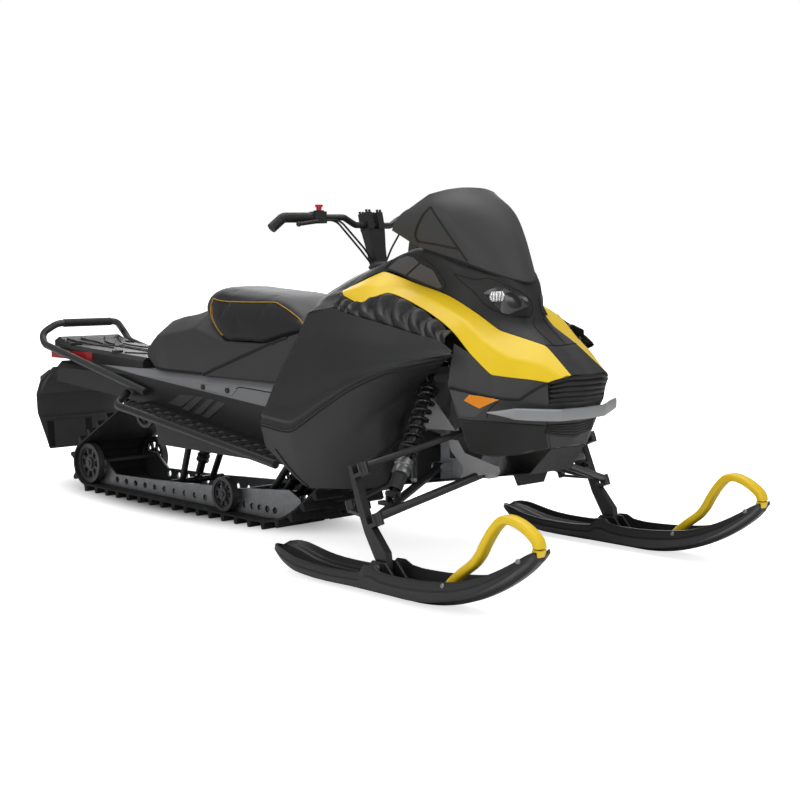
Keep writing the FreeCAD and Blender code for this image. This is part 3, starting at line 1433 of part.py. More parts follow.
def make_frame_tubes():
    """The tube frame from the bulkhead up to the steering post's bearing and down to the tunnel."""
    radius, gap = 8, number(S.clearance)
    up = post_point(1).sub(post_point(0))
    ahead = post_point(0, 0, 1).sub(post_point(0))
    bearing = Part.makeBox(60, 156, 8)
    corner = post_point(-60 - gap - 8, -78, -30)
    bearing.Placement = FreeCAD.Placement(axes_matrix(ahead, Vector(0, 1, 0), up, corner))
    knee = post_point(-72)
    solids = [bearing]
    for side in (-1, 1):
        route = [Vector(796, side * 110, number(S.bulkhead_top) + 40 + gap), Vector(knee.x, side * 70, knee.z),
                 Vector(300, side * 130, number(S.tunnel_top) + gap)]
        tube = bar([route[0].add(Vector(0, 0, 10)), route[1], route[2].add(Vector(0, 0, 10))], radius, 30)
        solids.append(tube)
        for foot in (route[0], route[2]):
            solids.append(Part.makeCylinder(18, 14, foot, Vector(0, 0, 1)))
    keep(feature("frame_tubes", solids[0].multiFuse(solids[1:])), "frame_tubes")


make_frame_tubes()
make_console()
make_tank_cover()
make_headlamps()
make_reflectors()
make_display()
make_sway_bar()


# Handlebars on the raked steering post

def bar_route():
    """The bar's middle line: low in the clamp, up to the shoulders, then out and back to the end hooks."""
    half = number(S.bar_half)
    rear, high = number(S.bar_x), number(S.bar_z)
    sweep = math.tan(math.radians(number(S.bar_sweep)))
    hook = half - number(S.hook_length)
    side = [Vector(rear, -82, high), Vector(rear - 4, -130, high + 25),
            Vector(rear - 4 - (hook - 130) * sweep, -hook, high + 21),
            Vector(rear - 8 - (hook - 130) * sweep, -half, high - 12)]
    return side


def grip_line():
    """Where the straight part of the grip starts and ends on the right side."""
    side = bar_route()
    way = side[2].sub(side[1]).normalize()
    end = side[2].sub(Vector(way).multiply(16))
    return end.sub(Vector(way).multiply(number(S.grip_length))), end, way


def along_bar(distance):
    """A spot on the straight part of the bar, by its distance inwards from the grip's inner end."""
    start, end, way = grip_line()
    return start.sub(Vector(way).multiply(distance))


def make_handlebars():
    """The raked post with its riser, the bar clamped on it, and the grips bent into end hooks."""
    up = post_point(1).sub(post_point(0))
    ahead = post_point(0, 0, 1).sub(post_point(0))
    post = Part.makeCylinder(number(S.post_radius), 110, post_point(-60), up)
    rise = number(S.post_height)

    def level(along, half_across, half_ahead):
        spots_ = []
        for y, out in ((-half_across, -half_ahead), (half_across, -half_ahead), (half_across, half_ahead),
                       (-half_across, half_ahead)):
            spots_.append(post_point(along, y, out))
        return Part.makePolygon(spots_ + spots_[:1])

    riser = Part.makeLoft([level(36, 24, 20), level(rise * 0.55, 31, 17), level(rise - 4, 40, 18)], True, True)
    keep(feature("steering_post", post.fuse(riser)), "steering_post")

    radius, gap = number(S.bar_radius), number(S.clearance)
    side = bar_route()
    route = [Vector(p.x, p.y, p.z) for p in reversed(side)] + [Vector(p.x, -p.y, p.z) for p in side]
    keep(feature("handlebar", bar(route, radius, 30)), "handlebar")

    middle = Vector(side[0].x, 0, side[0].z)
    seat = Part.makeCylinder(radius + gap, 200, middle.add(Vector(0, -100, 0)), Vector(0, 1, 0))
    clamps = []
    top_of_post = post_point(rise - 4 + gap)
    for y in (-25, 25):
        block_ = Part.makeBox(44, 26, 60)
        block_.Placement = FreeCAD.Placement(axes_matrix(ahead, Vector(0, 1, 0), up, top_of_post.add(
            Vector(0, y - 13, 0)).sub(Vector(ahead).multiply(22))))
        clamps.append(block_)
        for out in (-17, 17):
            for across_ in (-7, 7):
                foot = top_of_post.add(Vector(ahead).multiply(out)).add(Vector(0, y + across_, 0))
                clamps.append(Part.makeCylinder(4.5, 69, foot, up))
    clamp = clamps[0].multiFuse(clamps[1:]).cut(seat)
    keep(feature("bar_clamp", clamp), "bar_clamp")

    start, end, way = grip_line()
    hook = side[3].sub(side[2]).normalize()
    tip = side[3].add(Vector(hook).multiply(4))
    sleeve = bar([start, side[2], tip], number(S.grip_radius), 30)
    core = bar([start.sub(way), side[2], side[3].add(Vector(hook).multiply(gap))], radius + gap, 30)
    right = feature("grip_right", sleeve.cut(core))
    keep(together([right, mirrored(right)]), "grips")


def make_controls():
    """The switch blocks, the throttle block and the brake lever."""
    radius, gap = number(S.bar_radius), number(S.clearance)
    start, end, way = grip_line()
    forward = Vector(way).cross(Vector(0, 0, 1)).normalize()
    if forward.x < 0:
        forward = forward.multiply(-1)
    high = Vector(0, 0, 1)

    def housing(at, long, ahead, tall, drop):
        inwards = Vector(way).multiply(-1)
        upwards = forward.cross(inwards)
        shape = Part.makeBox(ahead, long, tall)
        base = along_bar(at).sub(Vector(forward).multiply(ahead / 2)).sub(Vector(upwards).multiply(drop))
        shape.Placement = FreeCAD.Placement(axes_matrix(forward, inwards, upwards, base))
        return shape

    bore = Part.makeCylinder(radius + gap, 400, along_bar(200), way)
    block_ = housing(1, 46, 40, 40, 20)
    button_seat = housing(14, 26, 26, 16, -8)
    right = block_.fuse(button_seat).cut(bore)
    lever_root = along_bar(12).add(Vector(forward).multiply(22)).sub(Vector(0, 0, 13))
    thumb = end.add(Vector(forward).multiply(24)).sub(Vector(0, 0, 22)).sub(Vector(way).multiply(30))
    right = right.fuse(tube_between(lever_root, thumb, 7)).fuse(Part.makeSphere(9, thumb))
    left = block_.mirror(Vector(0, 0, 0), Vector(0, 1, 0)).cut(bore.mirror(Vector(0, 0, 0), Vector(0, 1, 0)))
    tip = end.add(Vector(forward).multiply(62))
    brake = tube_between(lever_root, tip, 6).fuse(Part.makeSphere(8, tip))
    left = left.fuse(brake.mirror(Vector(0, 0, 0), Vector(0, 1, 0)))
    keep(together([feature("control_right", right), feature("control_left", left)]), "controls")
    foot = along_bar(27).add(Vector(0, 0, 24 + 2 * gap))
    stem = Part.makeCylinder(9, 12, foot, high)
    cap = Part.makeCylinder(13, 8, foot.add(Vector(0, 0, 10)), high)
    keep(feature("stop_button", stem.fuse(cap)), "stop_button")


def make_cables():
    """Two cables from the right switch block and one from the left, down to the console's collar."""
    start, end, way = grip_line()
    forward = Vector(way).cross(Vector(0, 0, 1)).normalize()
    if forward.x < 0:
        forward = forward.multiply(-1)
    cables = []
    for ahead in (14, -14):
        aside = Vector(forward).multiply(ahead).sub(Vector(0, 0, 9))
        root, knee = along_bar(47 + number(S.clearance)).add(aside), along_bar(100).add(aside)
        route = [root, knee, post_point(84, -66, ahead * 0.7), post_point(30, -26, ahead * 0.5)]
        cables.append(bar(route, S.cable_radius, 60))
    cables.append(cables[0].mirror(Vector(0, 0, 0), Vector(0, 1, 0)))
    keep(together([feature("control_cable", cable) for cable in cables]), "control_cables")


make_handlebars()
make_controls()
make_cables()

# Check every object, then write each sub-part

doc.recompute()
for item in doc.Objects:
    if "Invalid" in item.State or "Error" in item.State:
        raise RuntimeError("%s is %s" % (item.Name, item.State))
os.makedirs("parts", exist_ok=True)
for item in nodes:
    shape = item.Shape
    if shape.isNull() or not shape.isValid() or not shape.Solids:
        raise RuntimeError("%s has no valid solid" % item.Label)
    shape.exportStep("parts/%s.step" % item.Label)
    print("%-20s solids %d  volume %.0f cm3" % (item.Label, len(shape.Solids), shape.Volume / 1000))
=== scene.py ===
# %% [markdown]
# # Dressing a snowmobile
# The machine comes in as a packed engineering model: every piece already stands at its real
# place and size. This script gives each piece its finish, adds the soft seat and the small
# things that catch the eye, and sets up a plain studio around it.
# All lengths are metres: +X is forward, +Y the rider's left, +Z up, with the snow at z = 0.

# %% Load the frame
import functools
import json
import math

import bmesh
import bpy
import numpy as np
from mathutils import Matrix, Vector
from mathutils.bvhtree import BVHTree


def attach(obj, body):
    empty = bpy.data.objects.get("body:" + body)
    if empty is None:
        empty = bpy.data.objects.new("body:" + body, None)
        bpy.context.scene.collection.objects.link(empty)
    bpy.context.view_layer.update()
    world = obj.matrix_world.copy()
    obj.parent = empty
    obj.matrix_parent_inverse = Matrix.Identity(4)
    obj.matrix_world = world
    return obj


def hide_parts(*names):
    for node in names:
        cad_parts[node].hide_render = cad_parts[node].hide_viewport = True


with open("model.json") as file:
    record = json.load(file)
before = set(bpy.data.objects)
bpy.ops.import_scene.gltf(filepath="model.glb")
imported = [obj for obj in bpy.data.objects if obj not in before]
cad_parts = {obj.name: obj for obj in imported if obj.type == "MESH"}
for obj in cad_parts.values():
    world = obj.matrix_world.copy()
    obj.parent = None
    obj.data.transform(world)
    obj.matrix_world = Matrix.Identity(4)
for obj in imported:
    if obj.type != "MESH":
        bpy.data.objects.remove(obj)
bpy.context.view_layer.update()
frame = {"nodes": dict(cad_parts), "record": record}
NODES = frame["nodes"]

# %% [markdown]
# ## The camera
# The photograph was taken from in front of the machine's right side, from about the height of
# the hood. A camera can be placed by eye, or solved from a few points whose real places are
# known. Solving was chosen: track length, ski stance and the level of the snow gave the
# direction, the pitch and the distance, and the long lens keeps the far ski nearly as large
# as the near one.

# %% Camera
CAMERA_PLACE = (3.975, -3.35, 0.982)
CAMERA_TURN = math.radians(46.163)
CAMERA_PITCH = math.radians(5.689)
LENS_MM = 63.75

camera_data = bpy.data.cameras.new("photo_camera")
camera_data.lens = LENS_MM
camera_data.sensor_width = 36
camera_data.clip_end = 100
camera = bpy.data.objects.new("photo_camera", camera_data)
camera.location = CAMERA_PLACE
camera.rotation_euler = (math.pi / 2 - CAMERA_PITCH, 0, CAMERA_TURN)
bpy.context.scene.collection.objects.link(camera)
bpy.context.scene.camera = camera
bpy.context.scene.view_settings.view_transform = "Standard"
print("camera at", CAMERA_PLACE, "lens", LENS_MM)

# %% [markdown]
# ## Writing shader maths
# A finish is a small graph of nodes. Linking each node by hand hides the idea behind dozens of
# lines, so two helpers do it: `Finish` adds any node in one call, and `Value` wraps a socket so
# that plain expressions such as `0.3 + 0.1 * grain` add the Math nodes.

# %% Shader helpers


class Value:
    """A number that varies over a surface. +, - and * between Values or numbers add Math nodes."""

    def __init__(self, finish, socket):
        self.finish, self.socket = finish, socket

    def math(self, operation, first, second):
        return self.finish.node("ShaderNodeMath", {"operation": operation}, {0: first, 1: second})

    def __add__(self, other):
        return self.math("ADD", self, other)

    def __sub__(self, other):
        return self.math("SUBTRACT", self, other)

    def __rsub__(self, other):
        return self.math("SUBTRACT", other, self)

    def __mul__(self, other):
        return self.math("MULTIPLY", self, other)

    __radd__, __rmul__ = __add__, __mul__


FINISHES = {}


class Finish:
    """One material and its graph, built around a Principled shader."""

    def __init__(self, name, **constants):
        FINISHES[name] = self
        self.material = bpy.data.materials.new(name)
        self.material.use_nodes = True
        self.tree = self.material.node_tree
        self.shader = self.tree.nodes["Principled BSDF"]
        self.set(**constants)

    def set(self, **values):
        """Puts numbers, colours or Values on the shader's sockets."""
        for socket, value in values.items():
            name = socket.replace("_", " ").title().replace("Ior", "IOR")
            self.plug(self.shader.inputs[name], value)

    def plug(self, target, value):
        if isinstance(value, Value):
            self.tree.links.new(value.socket, target)
        elif target.type == "RGBA":
            target.default_value = (*value, 1)
        else:
            target.default_value = value

    def node(self, kind, settings=None, inputs=None, output=0):
        """Adds a node: its settings first, then values or links on its sockets. Returns one output."""
        made = self.tree.nodes.new(kind)
        for key, value in (settings or {}).items():
            setattr(made, key, value)
        for key, value in (inputs or {}).items():
            self.plug(made.inputs[key], value)
        return Value(self, made.outputs[output])

    def place(self):
        """The point's own place on the machine, in metres."""
        return self.node("ShaderNodeTexCoord", output="Object")

    def axes(self):
        """The point's x, y and z as three Values."""
        split = self.node("ShaderNodeSeparateXYZ", inputs={0: self.place()}).socket.node
        return [Value(self, output) for output in split.outputs]

    def noise(self, scale, detail=2.0, roughness=0.5):
        return self.node("ShaderNodeTexNoise", None, {"Vector": self.place(), "Scale": scale,
                                                      "Detail": detail, "Roughness": roughness})

    def blend(self, amount, first, second):
        """Goes from the first colour to the second as amount goes from 0 to 1."""
        return self.node("ShaderNodeMix", {"data_type": "RGBA"}, {"Factor": amount, 6: first, 7: second}, 2)

    def ramp(self, value, low=0.0, high=1.0):
        """0 below low, 1 above high, and a straight blend between them."""
        made = self.node("ShaderNodeValToRGB", None, {0: value})
        first, last = made.socket.node.color_ramp.elements
        first.position, last.position = low, high
        return made

    def bump(self, height, depth):
        """Raises the surface by height x depth metres."""
        self.set(normal=self.node("ShaderNodeBump", None, {"Height": height, "Distance": depth}))


def shade(colour, factor):
    """The colour, darker or lighter by a factor."""
    return tuple(c * factor for c in colour)


print("shader helpers ready")

# %% [markdown]
# ## Moulded plastics
# Most of a snowmobile's skin is injection moulded. The dark panels have a fine spark-eroded
# grain, which spreads highlights, and the coloured ones are glossy. The grain could be real
# geometry, but its pits are tenths of a millimetre deep, so it is a bump from noise, and a
# slower noise varies the roughness as handling and snow dust do.

# %% Plastic finishes
def plastic(name, colour, roughness, grain_depth, coat=0.0, spread=0.08):
    """A colour that drifts slowly by about an eighth, fine grain as bump, roughness + spread x noise."""
    made = Finish(name, specular_ior_level=0.5, coat_weight=coat, coat_roughness=0.06)
    light = tuple(min(1.0, c * 1.12 + 0.002) for c in colour)
    made.set(base_color=made.blend(made.noise(5.0, 3.0), shade(colour, 0.86), light),
             roughness=roughness + spread * (made.noise(34.0, 4.0) - 0.5))
    made.bump(made.noise(900.0, 1.0), grain_depth)


plastic("charcoal_plastic", (0.035, 0.035, 0.037), 0.46, 0.00035)
plastic("side_charcoal", (0.0145, 0.0148, 0.0155), 0.42, 0.00035)
plastic("black_plastic", (0.014, 0.014, 0.015), 0.46, 0.0004)
plastic("yellow_plastic", (1.0, 0.64, 0.008), 0.42, 0.00004, coat=0.03)
plastic("black_gloss", (0.042, 0.042, 0.043), 0.56, 0.00003, spread=0.05)
plastic("red_plastic", (0.62, 0.012, 0.012), 0.3, 0.00005)
plastic("red_lens", (0.42, 0.012, 0.014), 0.12, 0.0001, coat=0.6)
plastic("amber_lens", (0.95, 0.3, 0.01), 0.2, 0.0001, coat=0.4)
plastic("lamp_lens", (0.004, 0.004, 0.005), 0.24, 0.00001, coat=0.3, spread=0.02)
# A lighter grey for the fascia's corner plate: a painted highlight on a facet that faces the light.
plastic("painted_highlight_grey", (0.062, 0.063, 0.066), 0.46, 0.0003)
plastic("hood_black", (0.006, 0.006, 0.0065), 0.52, 0.0003)
plastic("wheel_grey", (0.04, 0.04, 0.043), 0.4, 0.0003)
plastic("ski_plastic", (0.014, 0.014, 0.0148), 0.34, 0.0002)
plastic("door_grey", (0.085, 0.083, 0.088), 0.4, 0.0002)
plastic("seam_black", (0.003, 0.003, 0.003), 0.7, 0.0001)
plastic("piping_yellow", (0.62, 0.33, 0.01), 0.5, 0.0001)
print("plastics", sorted(FINISHES))

# %% [markdown]
# ## Rubber
# The track, the flap and the grips are rubber: very dark, dull, and paler where dust and old
# snow leave a film. A broad noise puts that film on in patches, and a fine one is its bump.

# %% Rubber finishes


def rubber(name, colour, film, roughness, depth):
    """Dark rubber under a film of dust that lies in patches and is paler by film."""
    made = Finish(name, specular_ior_level=0.4)
    cover = made.ramp(made.noise(16.0, 5.0, 0.6), 0.42, 0.75)
    made.set(base_color=made.blend(cover, colour, tuple(c + film for c in colour)),
             roughness=roughness + 0.12 * cover)
    made.bump(made.noise(420.0, 3.0), depth)


rubber("track_rubber", (0.013, 0.013, 0.013), 0.012, 0.62, 0.0008)
rubber("flap_rubber", (0.056, 0.057, 0.06), 0.01, 0.55, 0.0006)
rubber("grip_rubber", (0.012, 0.012, 0.012), 0.004, 0.5, 0.0005)
print("rubbers made")

# %% [markdown]
# ## Metals
# Three kinds of metal show. Steel tubes, arms and the tunnel's sheet are painted: a coat with
# the faint ripple called orange peel. Rails are bare aluminium, with fine marks along the
# rolling direction. Those marks could be a painted image, but noise stretched along one axis
# gives them on any shape. Castings have a sandy skin.

# %% Metal finishes


RIPPLE_DEPTH = 0.0002


def ripple(made, colour, roughness):
    """Paint of any colour with a smooth ripple a few millimetres long."""
    made.set(base_color=colour, roughness=roughness + 0.1 * (made.noise(60.0, 3.0) - 0.5))
    made.bump(made.noise(260.0, 2.0), RIPPLE_DEPTH)


def coated(name, colour, roughness, metallic=0.0):
    """Powder coat on an almost even colour."""
    made = Finish(name, metallic=metallic, specular_ior_level=0.5)
    worn = made.blend(made.noise(9.0, 3.0), shade(colour, 0.88), shade(colour, 1.12))
    ripple(made, worn, roughness)


def bare_metal(name, colour, roughness, stretch, depth):
    """Bare aluminium: noise stretched along the machine gives the drawn lines of the mill."""
    made = Finish(name, metallic=1.0)
    stretched = made.node("ShaderNodeMapping", None, {"Vector": made.place(), "Scale": stretch})
    lines = made.node("ShaderNodeTexNoise", None, {"Vector": stretched, "Scale": 120.0, "Detail": 3.0})
    marks = made.ramp(made.noise(55.0, 5.0, 0.65), 0.4, 0.8)
    made.set(base_color=made.blend(marks, colour, shade(colour, 0.8)),
             roughness=roughness + 0.16 * lines + 0.1 * marks)
    made.bump(lines, depth)


coated("black_steel", (0.016, 0.016, 0.017), 0.36)
coated("grey_paint", (0.03, 0.031, 0.033), 0.42)
coated("bumper_silver", (0.34, 0.345, 0.355), 0.36, metallic=0.25)
coated("engine_grey", (0.06, 0.06, 0.062), 0.6)
bare_metal("silver_aluminium", (0.3, 0.305, 0.315), 0.34, (0.05, 1.0, 1.0), 0.0002)
bare_metal("cast_aluminium", (0.46, 0.47, 0.49), 0.42, (1.0, 1.0, 1.0), 0.0006)
coated("spring_black", (0.012, 0.012, 0.013), 0.28)
coated("press_grey", (0.042, 0.043, 0.045), 0.36)
coated("plate_grey", (0.3, 0.302, 0.31), 0.4, metallic=0.2)
coated("bracket_grey", (0.24, 0.243, 0.25), 0.34)
bare_metal("reflector_chrome", (0.75, 0.76, 0.78), 0.12, (1.0, 1.0, 1.0), 0.0001)


EDGE_HEIGHT, EDGE_FALL, EDGE_SHARPNESS = 0.455, 0.081, 300.0


def folded_sheet(name, low, high):
    """The tunnel: dark paint below a line that falls towards the front, and a paler extrusion above it."""
    made = Finish(name, specular_ior_level=0.5)
    x, _, z = made.axes()
    above = made.ramp(0.5 + EDGE_SHARPNESS * (z + EDGE_FALL * x - EDGE_HEIGHT))
    ripple(made, made.blend(above, low, high), 0.4)


folded_sheet("tunnel_sheet", (0.011, 0.011, 0.012), (0.22, 0.222, 0.23))
print("metals made")

# %% [markdown]
# ## Seat cover
# The seat is wrapped in coated fabric: a dull vinyl pressed with a fine pebble, so it grips
# the rider's suit. Cells of a Voronoi pattern give the pebbles their round tops. The faces that
# turn upwards get a paler colour: a painted highlight.

# %% Seat finish


def vinyl(name, colour, top, roughness):
    """Side colour, and a paler colour on the faces that turn upwards as a painted highlight, chosen by the surface's
    own attribute that marks those faces.
    """
    made = Finish(name, specular_ior_level=0.4, sheen_weight=0.15, sheen_roughness=0.4)
    pebble = made.node("ShaderNodeTexVoronoi", {"feature": "SMOOTH_F1"}, {"Vector": made.place(), "Scale": 520.0})
    worn = made.blend(made.noise(7.0, 3.0), shade(colour, 0.85), shade(colour, 1.15))
    painted_highlight_share = made.node("ShaderNodeAttribute", {"attribute_name": "painted_top_highlight"}, output="Fac")
    made.set(base_color=made.blend(painted_highlight_share, worn, top), roughness=roughness + 0.12 * pebble)
    made.bump(1.0 - pebble, 0.0005)


# The second colour is a painted highlight, put on the seat's upward faces.
vinyl("seat_vinyl", (0.009, 0.009, 0.0095), (0.08, 0.081, 0.085), 0.5)
print("finishes", len(FINISHES))

# %% Finish every carried-over node
OWN_FINISH = {"tunnel": "tunnel_sheet", "idler_wheels": "wheel_grey"}


def paint(piece, finish):
    piece.data.materials.clear()
    piece.data.materials.append(FINISHES[finish].material)


for row in frame["record"]["subparts"]:
    paint(NODES[row["node"]], OWN_FINISH.get(row["node"], row["material_slot"]))

# %% [markdown]
# ## Surfaces from lines
# A moulded panel is drawn by its feature lines: edges, creases and a spine that run along the
# machine. A designer lofts a surface through them. It could be sculpted, but lines can be
# measured in the photograph, and numbers can be checked. So each panel here is a table of
# lines, each line a few measured points in millimetres, and three small functions make the
# surface: `flow` runs a smooth curve through every line, `soften` rounds the creases between
# them, and `shell` turns the grid of points into a thin moulded wall.

# %% Surface helpers
MM = 0.001
RIGHT, LEFT = -1, 1
SIDES = ((RIGHT, "right"), (LEFT, "left"))
FLIP = np.array([1, -1, 1])


def mm(points):
    """Points in millimetres as an array in metres."""
    return np.array(points, float) * MM


def metres(lines):
    """Lines of (x, half width, z) in millimetres as an array (station, line, xyz) in metres, on the right side."""
    grid = mm(lines).transpose(1, 0, 2)
    grid[..., 1] *= RIGHT
    return grid


def both_halves(grid):
    """Adds the mirror image of every line but the last, which lies on the middle plane."""
    return np.concatenate([grid, grid[:, -2::-1] * FLIP], axis=1)


def flow(grid, steps=8, ease=1.0, axis=0):
    """Cubic Hermite curves through the points along one axis. The tangent at a point is the mean of the
    chords beside it, each weighted by the other's length, times ease: 1 is smooth and 0 is a corner."""
    points = np.moveaxis(grid, axis, 0)
    chord = np.linalg.norm(np.diff(points, axis=0), axis=-1, keepdims=True) + 1e-9
    slope = np.diff(points, axis=0) / chord
    inner = (slope[:-1] * chord[1:] + slope[1:] * chord[:-1]) / (chord[:-1] + chord[1:])
    ease = np.broadcast_to(np.asarray(ease, float), len(points))[:, None, None]
    tangent = np.concatenate([slope[:1], inner, slope[-1:]]) * ease
    t = (np.arange(steps) / steps)[None, :, None, None]
    p0, p1 = points[:-1, None], points[1:, None]
    m0, m1 = (tangent[:-1] * chord)[:, None], (tangent[1:] * chord)[:, None]
    curve = ((2 * t**3 - 3 * t**2 + 1) * p0 + (t**3 - 2 * t**2 + t) * m0
             + (3 * t**2 - 2 * t**3) * p1 + (t**3 - t**2) * m1)
    curve = curve.reshape(-1, *points.shape[1:])
    return np.moveaxis(np.concatenate([curve, points[-1:]]), 0, axis)


def soften(grid, radius, axis=1, steps=4, closed=False):
    """Replaces each inner corner B of the lines A-B-C by a quadratic Bezier arc that starts and ends
    radius away from B: (1-t)^2 a + 2t(1-t) B + t^2 c. The arc never takes over 0.45 of a side."""
    points = np.moveaxis(grid, axis, 0)
    if closed:
        points = np.concatenate([points[-1:], points, points[:1]])
    before, here, after = points[:-2], points[1:-1], points[2:]
    radius = np.broadcast_to(np.asarray(radius, float), len(here))[:, None]

    def towards(other):
        span = other - here
        length = np.linalg.norm(span, axis=-1)
        return here + span * (np.minimum(radius / (length + 1e-9), 0.45))[..., None]

    a, c = towards(before)[:, None], towards(after)[:, None]
    t = np.linspace(0, 1, steps + 1)[None, :, None, None]
    arc = (1 - t)**2 * a + 2 * t * (1 - t) * here[:, None] + t**2 * c
    arc = arc.reshape(-1, *points.shape[1:])
    if not closed:
        arc = np.concatenate([points[:1], arc, points[-1:]])
    return np.moveaxis(arc, 0, axis)


def normals(grid):
    """The unit normal at each point of a grid: the cross product of its two directions."""
    along = np.gradient(grid, axis=0)
    across = np.gradient(grid, axis=1)
    cross = np.cross(along, across)
    return cross / (np.linalg.norm(cross, axis=-1, keepdims=True) + 1e-12)


MIDDLE = (0.7, 0.0, 0.6)


def facing(grid, centre):
    """1 if the grid's normals point away from the centre on the whole, and -1 if towards it."""
    return np.sign((normals(grid) * (grid - np.array(centre))).sum())


def outward(grid, centre=MIDDLE):
    """The grid, turned over if it faces the centre."""
    return grid if facing(grid, centre) > 0 else grid[::-1]


def make_piece(name, spots, faces, smooth=True):
    """A mesh object, linked into the scene."""
    mesh = bpy.data.meshes.new(name)
    mesh.from_pydata(spots, [], faces)
    mesh.polygons.foreach_set("use_smooth", np.full(len(mesh.polygons), smooth))
    piece = bpy.data.objects.new(name, mesh)
    bpy.context.scene.collection.objects.link(piece)
    return piece


def grid_mesh(name, grids, wrap=False):
    """One mesh object from grids of points (rows, columns, 3): four neighbours make a face.
    wrap joins the last column to the first, as in a tube."""
    spots, faces, first = [], [], 0
    for grid in grids:
        rows, columns = grid.shape[:2]
        spots.append(grid.reshape(-1, 3))
        index = first + np.arange(rows * columns).reshape(rows, columns)
        right = np.roll(index, -1, axis=1) if wrap else index[:, 1:]
        left = index if wrap else index[:, :-1]
        quad = np.stack([left[:-1], left[1:], right[1:], right[:-1]], axis=-1)
        faces.append(quad.reshape(-1, 4))
        first += rows * columns
    return make_piece(name, np.concatenate(spots), np.concatenate(faces).tolist())


def dress(piece, slot, body="chassis", replaces=()):
    """Gives a finished piece its finish, the body it rides on and the CAD nodes that it stands for."""
    paint(piece, slot)
    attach(piece, body)
    if replaces:
        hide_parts(*replaces)
    print(piece.name, len(piece.data.polygons), "faces")


def round_edges(piece, width, limit=30.0, harden=False):
    """A small bevel on the edges that are sharper than the limit, in degrees."""
    rim = piece.modifiers.new("rim", "BEVEL")
    rim.width, rim.segments = width, 2
    rim.limit_method = "ANGLE"
    rim.angle_limit = math.radians(limit)
    rim.harden_normals = harden


WALL, GAP, RIM = 0.003, 0.0012, 0.0009


def shell(piece, wall=WALL, rim=RIM):
    """A wall grown inwards from the outer face, with a rounded rim."""
    thick = piece.modifiers.new("wall", "SOLIDIFY")
    thick.thickness = wall
    thick.offset = -1
    if rim:
        round_edges(piece, rim, 50.0, harden=True)
    return piece


def pull_in(grid, gap):
    """Draws the four edges of a grid in by a gap, so that two panels leave a fine dark line between them."""
    grid = grid.copy()
    for axis in (0, 1):
        points = np.moveaxis(grid, axis, 0)
        for edge, inside in ((0, 1), (-1, -2)):
            span = points[inside] - points[edge]
            length = np.linalg.norm(span, axis=-1, keepdims=True) + 1e-9
            points[edge] += span * np.minimum(gap / length, 0.4)
    return grid


def mirrored(grid):
    """The same grid on the other side, its rows turned round so that its faces still point outwards."""
    return grid[::-1] * FLIP


def outer_normals(grid):
    """The unit normals, turned as one to point away from the middle."""
    return normals(grid) * facing(grid, MIDDLE)


def side_skin(name, grid, slot, replaces, rim=RIM):
    """A pair of panels, right and left, from the right one's grid."""
    grid = outward(pull_in(grid, GAP))
    dress(shell(grid_mesh(name, [grid, mirrored(grid)]), WALL, rim), slot, replaces=replaces)


def full_skin(name, grid, slot, replaces, wall=WALL, gap=GAP, centre=MIDDLE, rim=RIM):
    """One panel over the whole width, from a grid that spans both sides."""
    grid = outward(pull_in(grid, gap), centre)
    dress(shell(grid_mesh(name, [grid]), wall, rim), slot, replaces=replaces)


print("surface helpers ready")

# %% [markdown]
# ## Hood and coloured panels
# The hood is one black moulding from the console to the nose. A coloured panel lies on each
# flank, with one crease along it, so its upper facet catches more light. The lines below are
# shared: the hood's lower edge is the coloured panel's upper edge, which keeps the gap even.

# %% Hood lines
HOOD_EDGE = [(448, 220, 880), (583, 165, 941), (740, 163, 902), (882, 160, 865), (990, 148, 812),
             (1062, 130, 766), (1130, 102, 744), (1196, 74, 722), (1309, 84, 639)]
HOOD_SIDE = [(462, 165, 925), (590, 152, 966), (740, 164, 960), (892, 153, 922), (986, 118, 868),
             (1036, 104, 802), (1115, 70, 763), (1196, 50, 721), (1311, 52, 638)]
HOOD_SHOULDER = [(475, 110, 953), (602, 130, 989), (739, 161, 1018), (905, 142, 972), (1040, 84, 922),
                 (1094, 36, 836), (1110, 30, 788), (1195, 28, 718), (1312, 26, 637)]
HOOD_SPINE = [(470, 0, 962), (600, 0, 996), (745, 0, 1030), (925, 0, 984), (1066, 0, 908),
              (1096, 0, 846), (1112, 0, 790), (1194, 0, 716), (1312, 0, 636)]
YELLOW_LOW = [(492, 260, 861), (594, 288, 840), (705, 270, 876), (860, 268, 832), (1000, 270, 760),
              (1060, 264, 702), (1136, 250, 640), (1230, 178, 626), (1265, 140, 617)]
YELLOW_MID = [(466, 248, 874), (578, 232, 897), (722, 228, 893), (872, 226, 853), (1004, 226, 796),
              (1078, 216, 738), (1160, 194, 690), (1236, 130, 668), (1292, 112, 630)]

hood_half = flow(metres([HOOD_EDGE, HOOD_SIDE, HOOD_SHOULDER, HOOD_SPINE]), 8,
                 (1, 1, 1, 1, 0.7, 0.5, 0.6, 0.3, 1))
hood_grid = soften(both_halves(hood_half), 0.03)
full_skin("hood_cover", hood_grid, "hood_black", replaces=["hood"])
yellow_grid = soften(flow(metres([YELLOW_LOW, YELLOW_MID, HOOD_EDGE]), 8, (1, 0.35, 0.6, 1, 0.8, 0.5, 0.3, 0.3, 1)),
                     0.012)
side_skin("yellow_panel_pair", yellow_grid, "yellow_plastic", replaces=["hood_panels"])

# %% [markdown]
# ## Side panels
# The tall panel covers the engine. It has a bevelled band along its top, a convex face, and a
# raised rib that follows the lower edge and fades out towards the front. Extra lines between
# the three measured ones carry the band and the rib, pushed out sideways. The rear edge is
# bowed, with a narrow chamfer behind it.

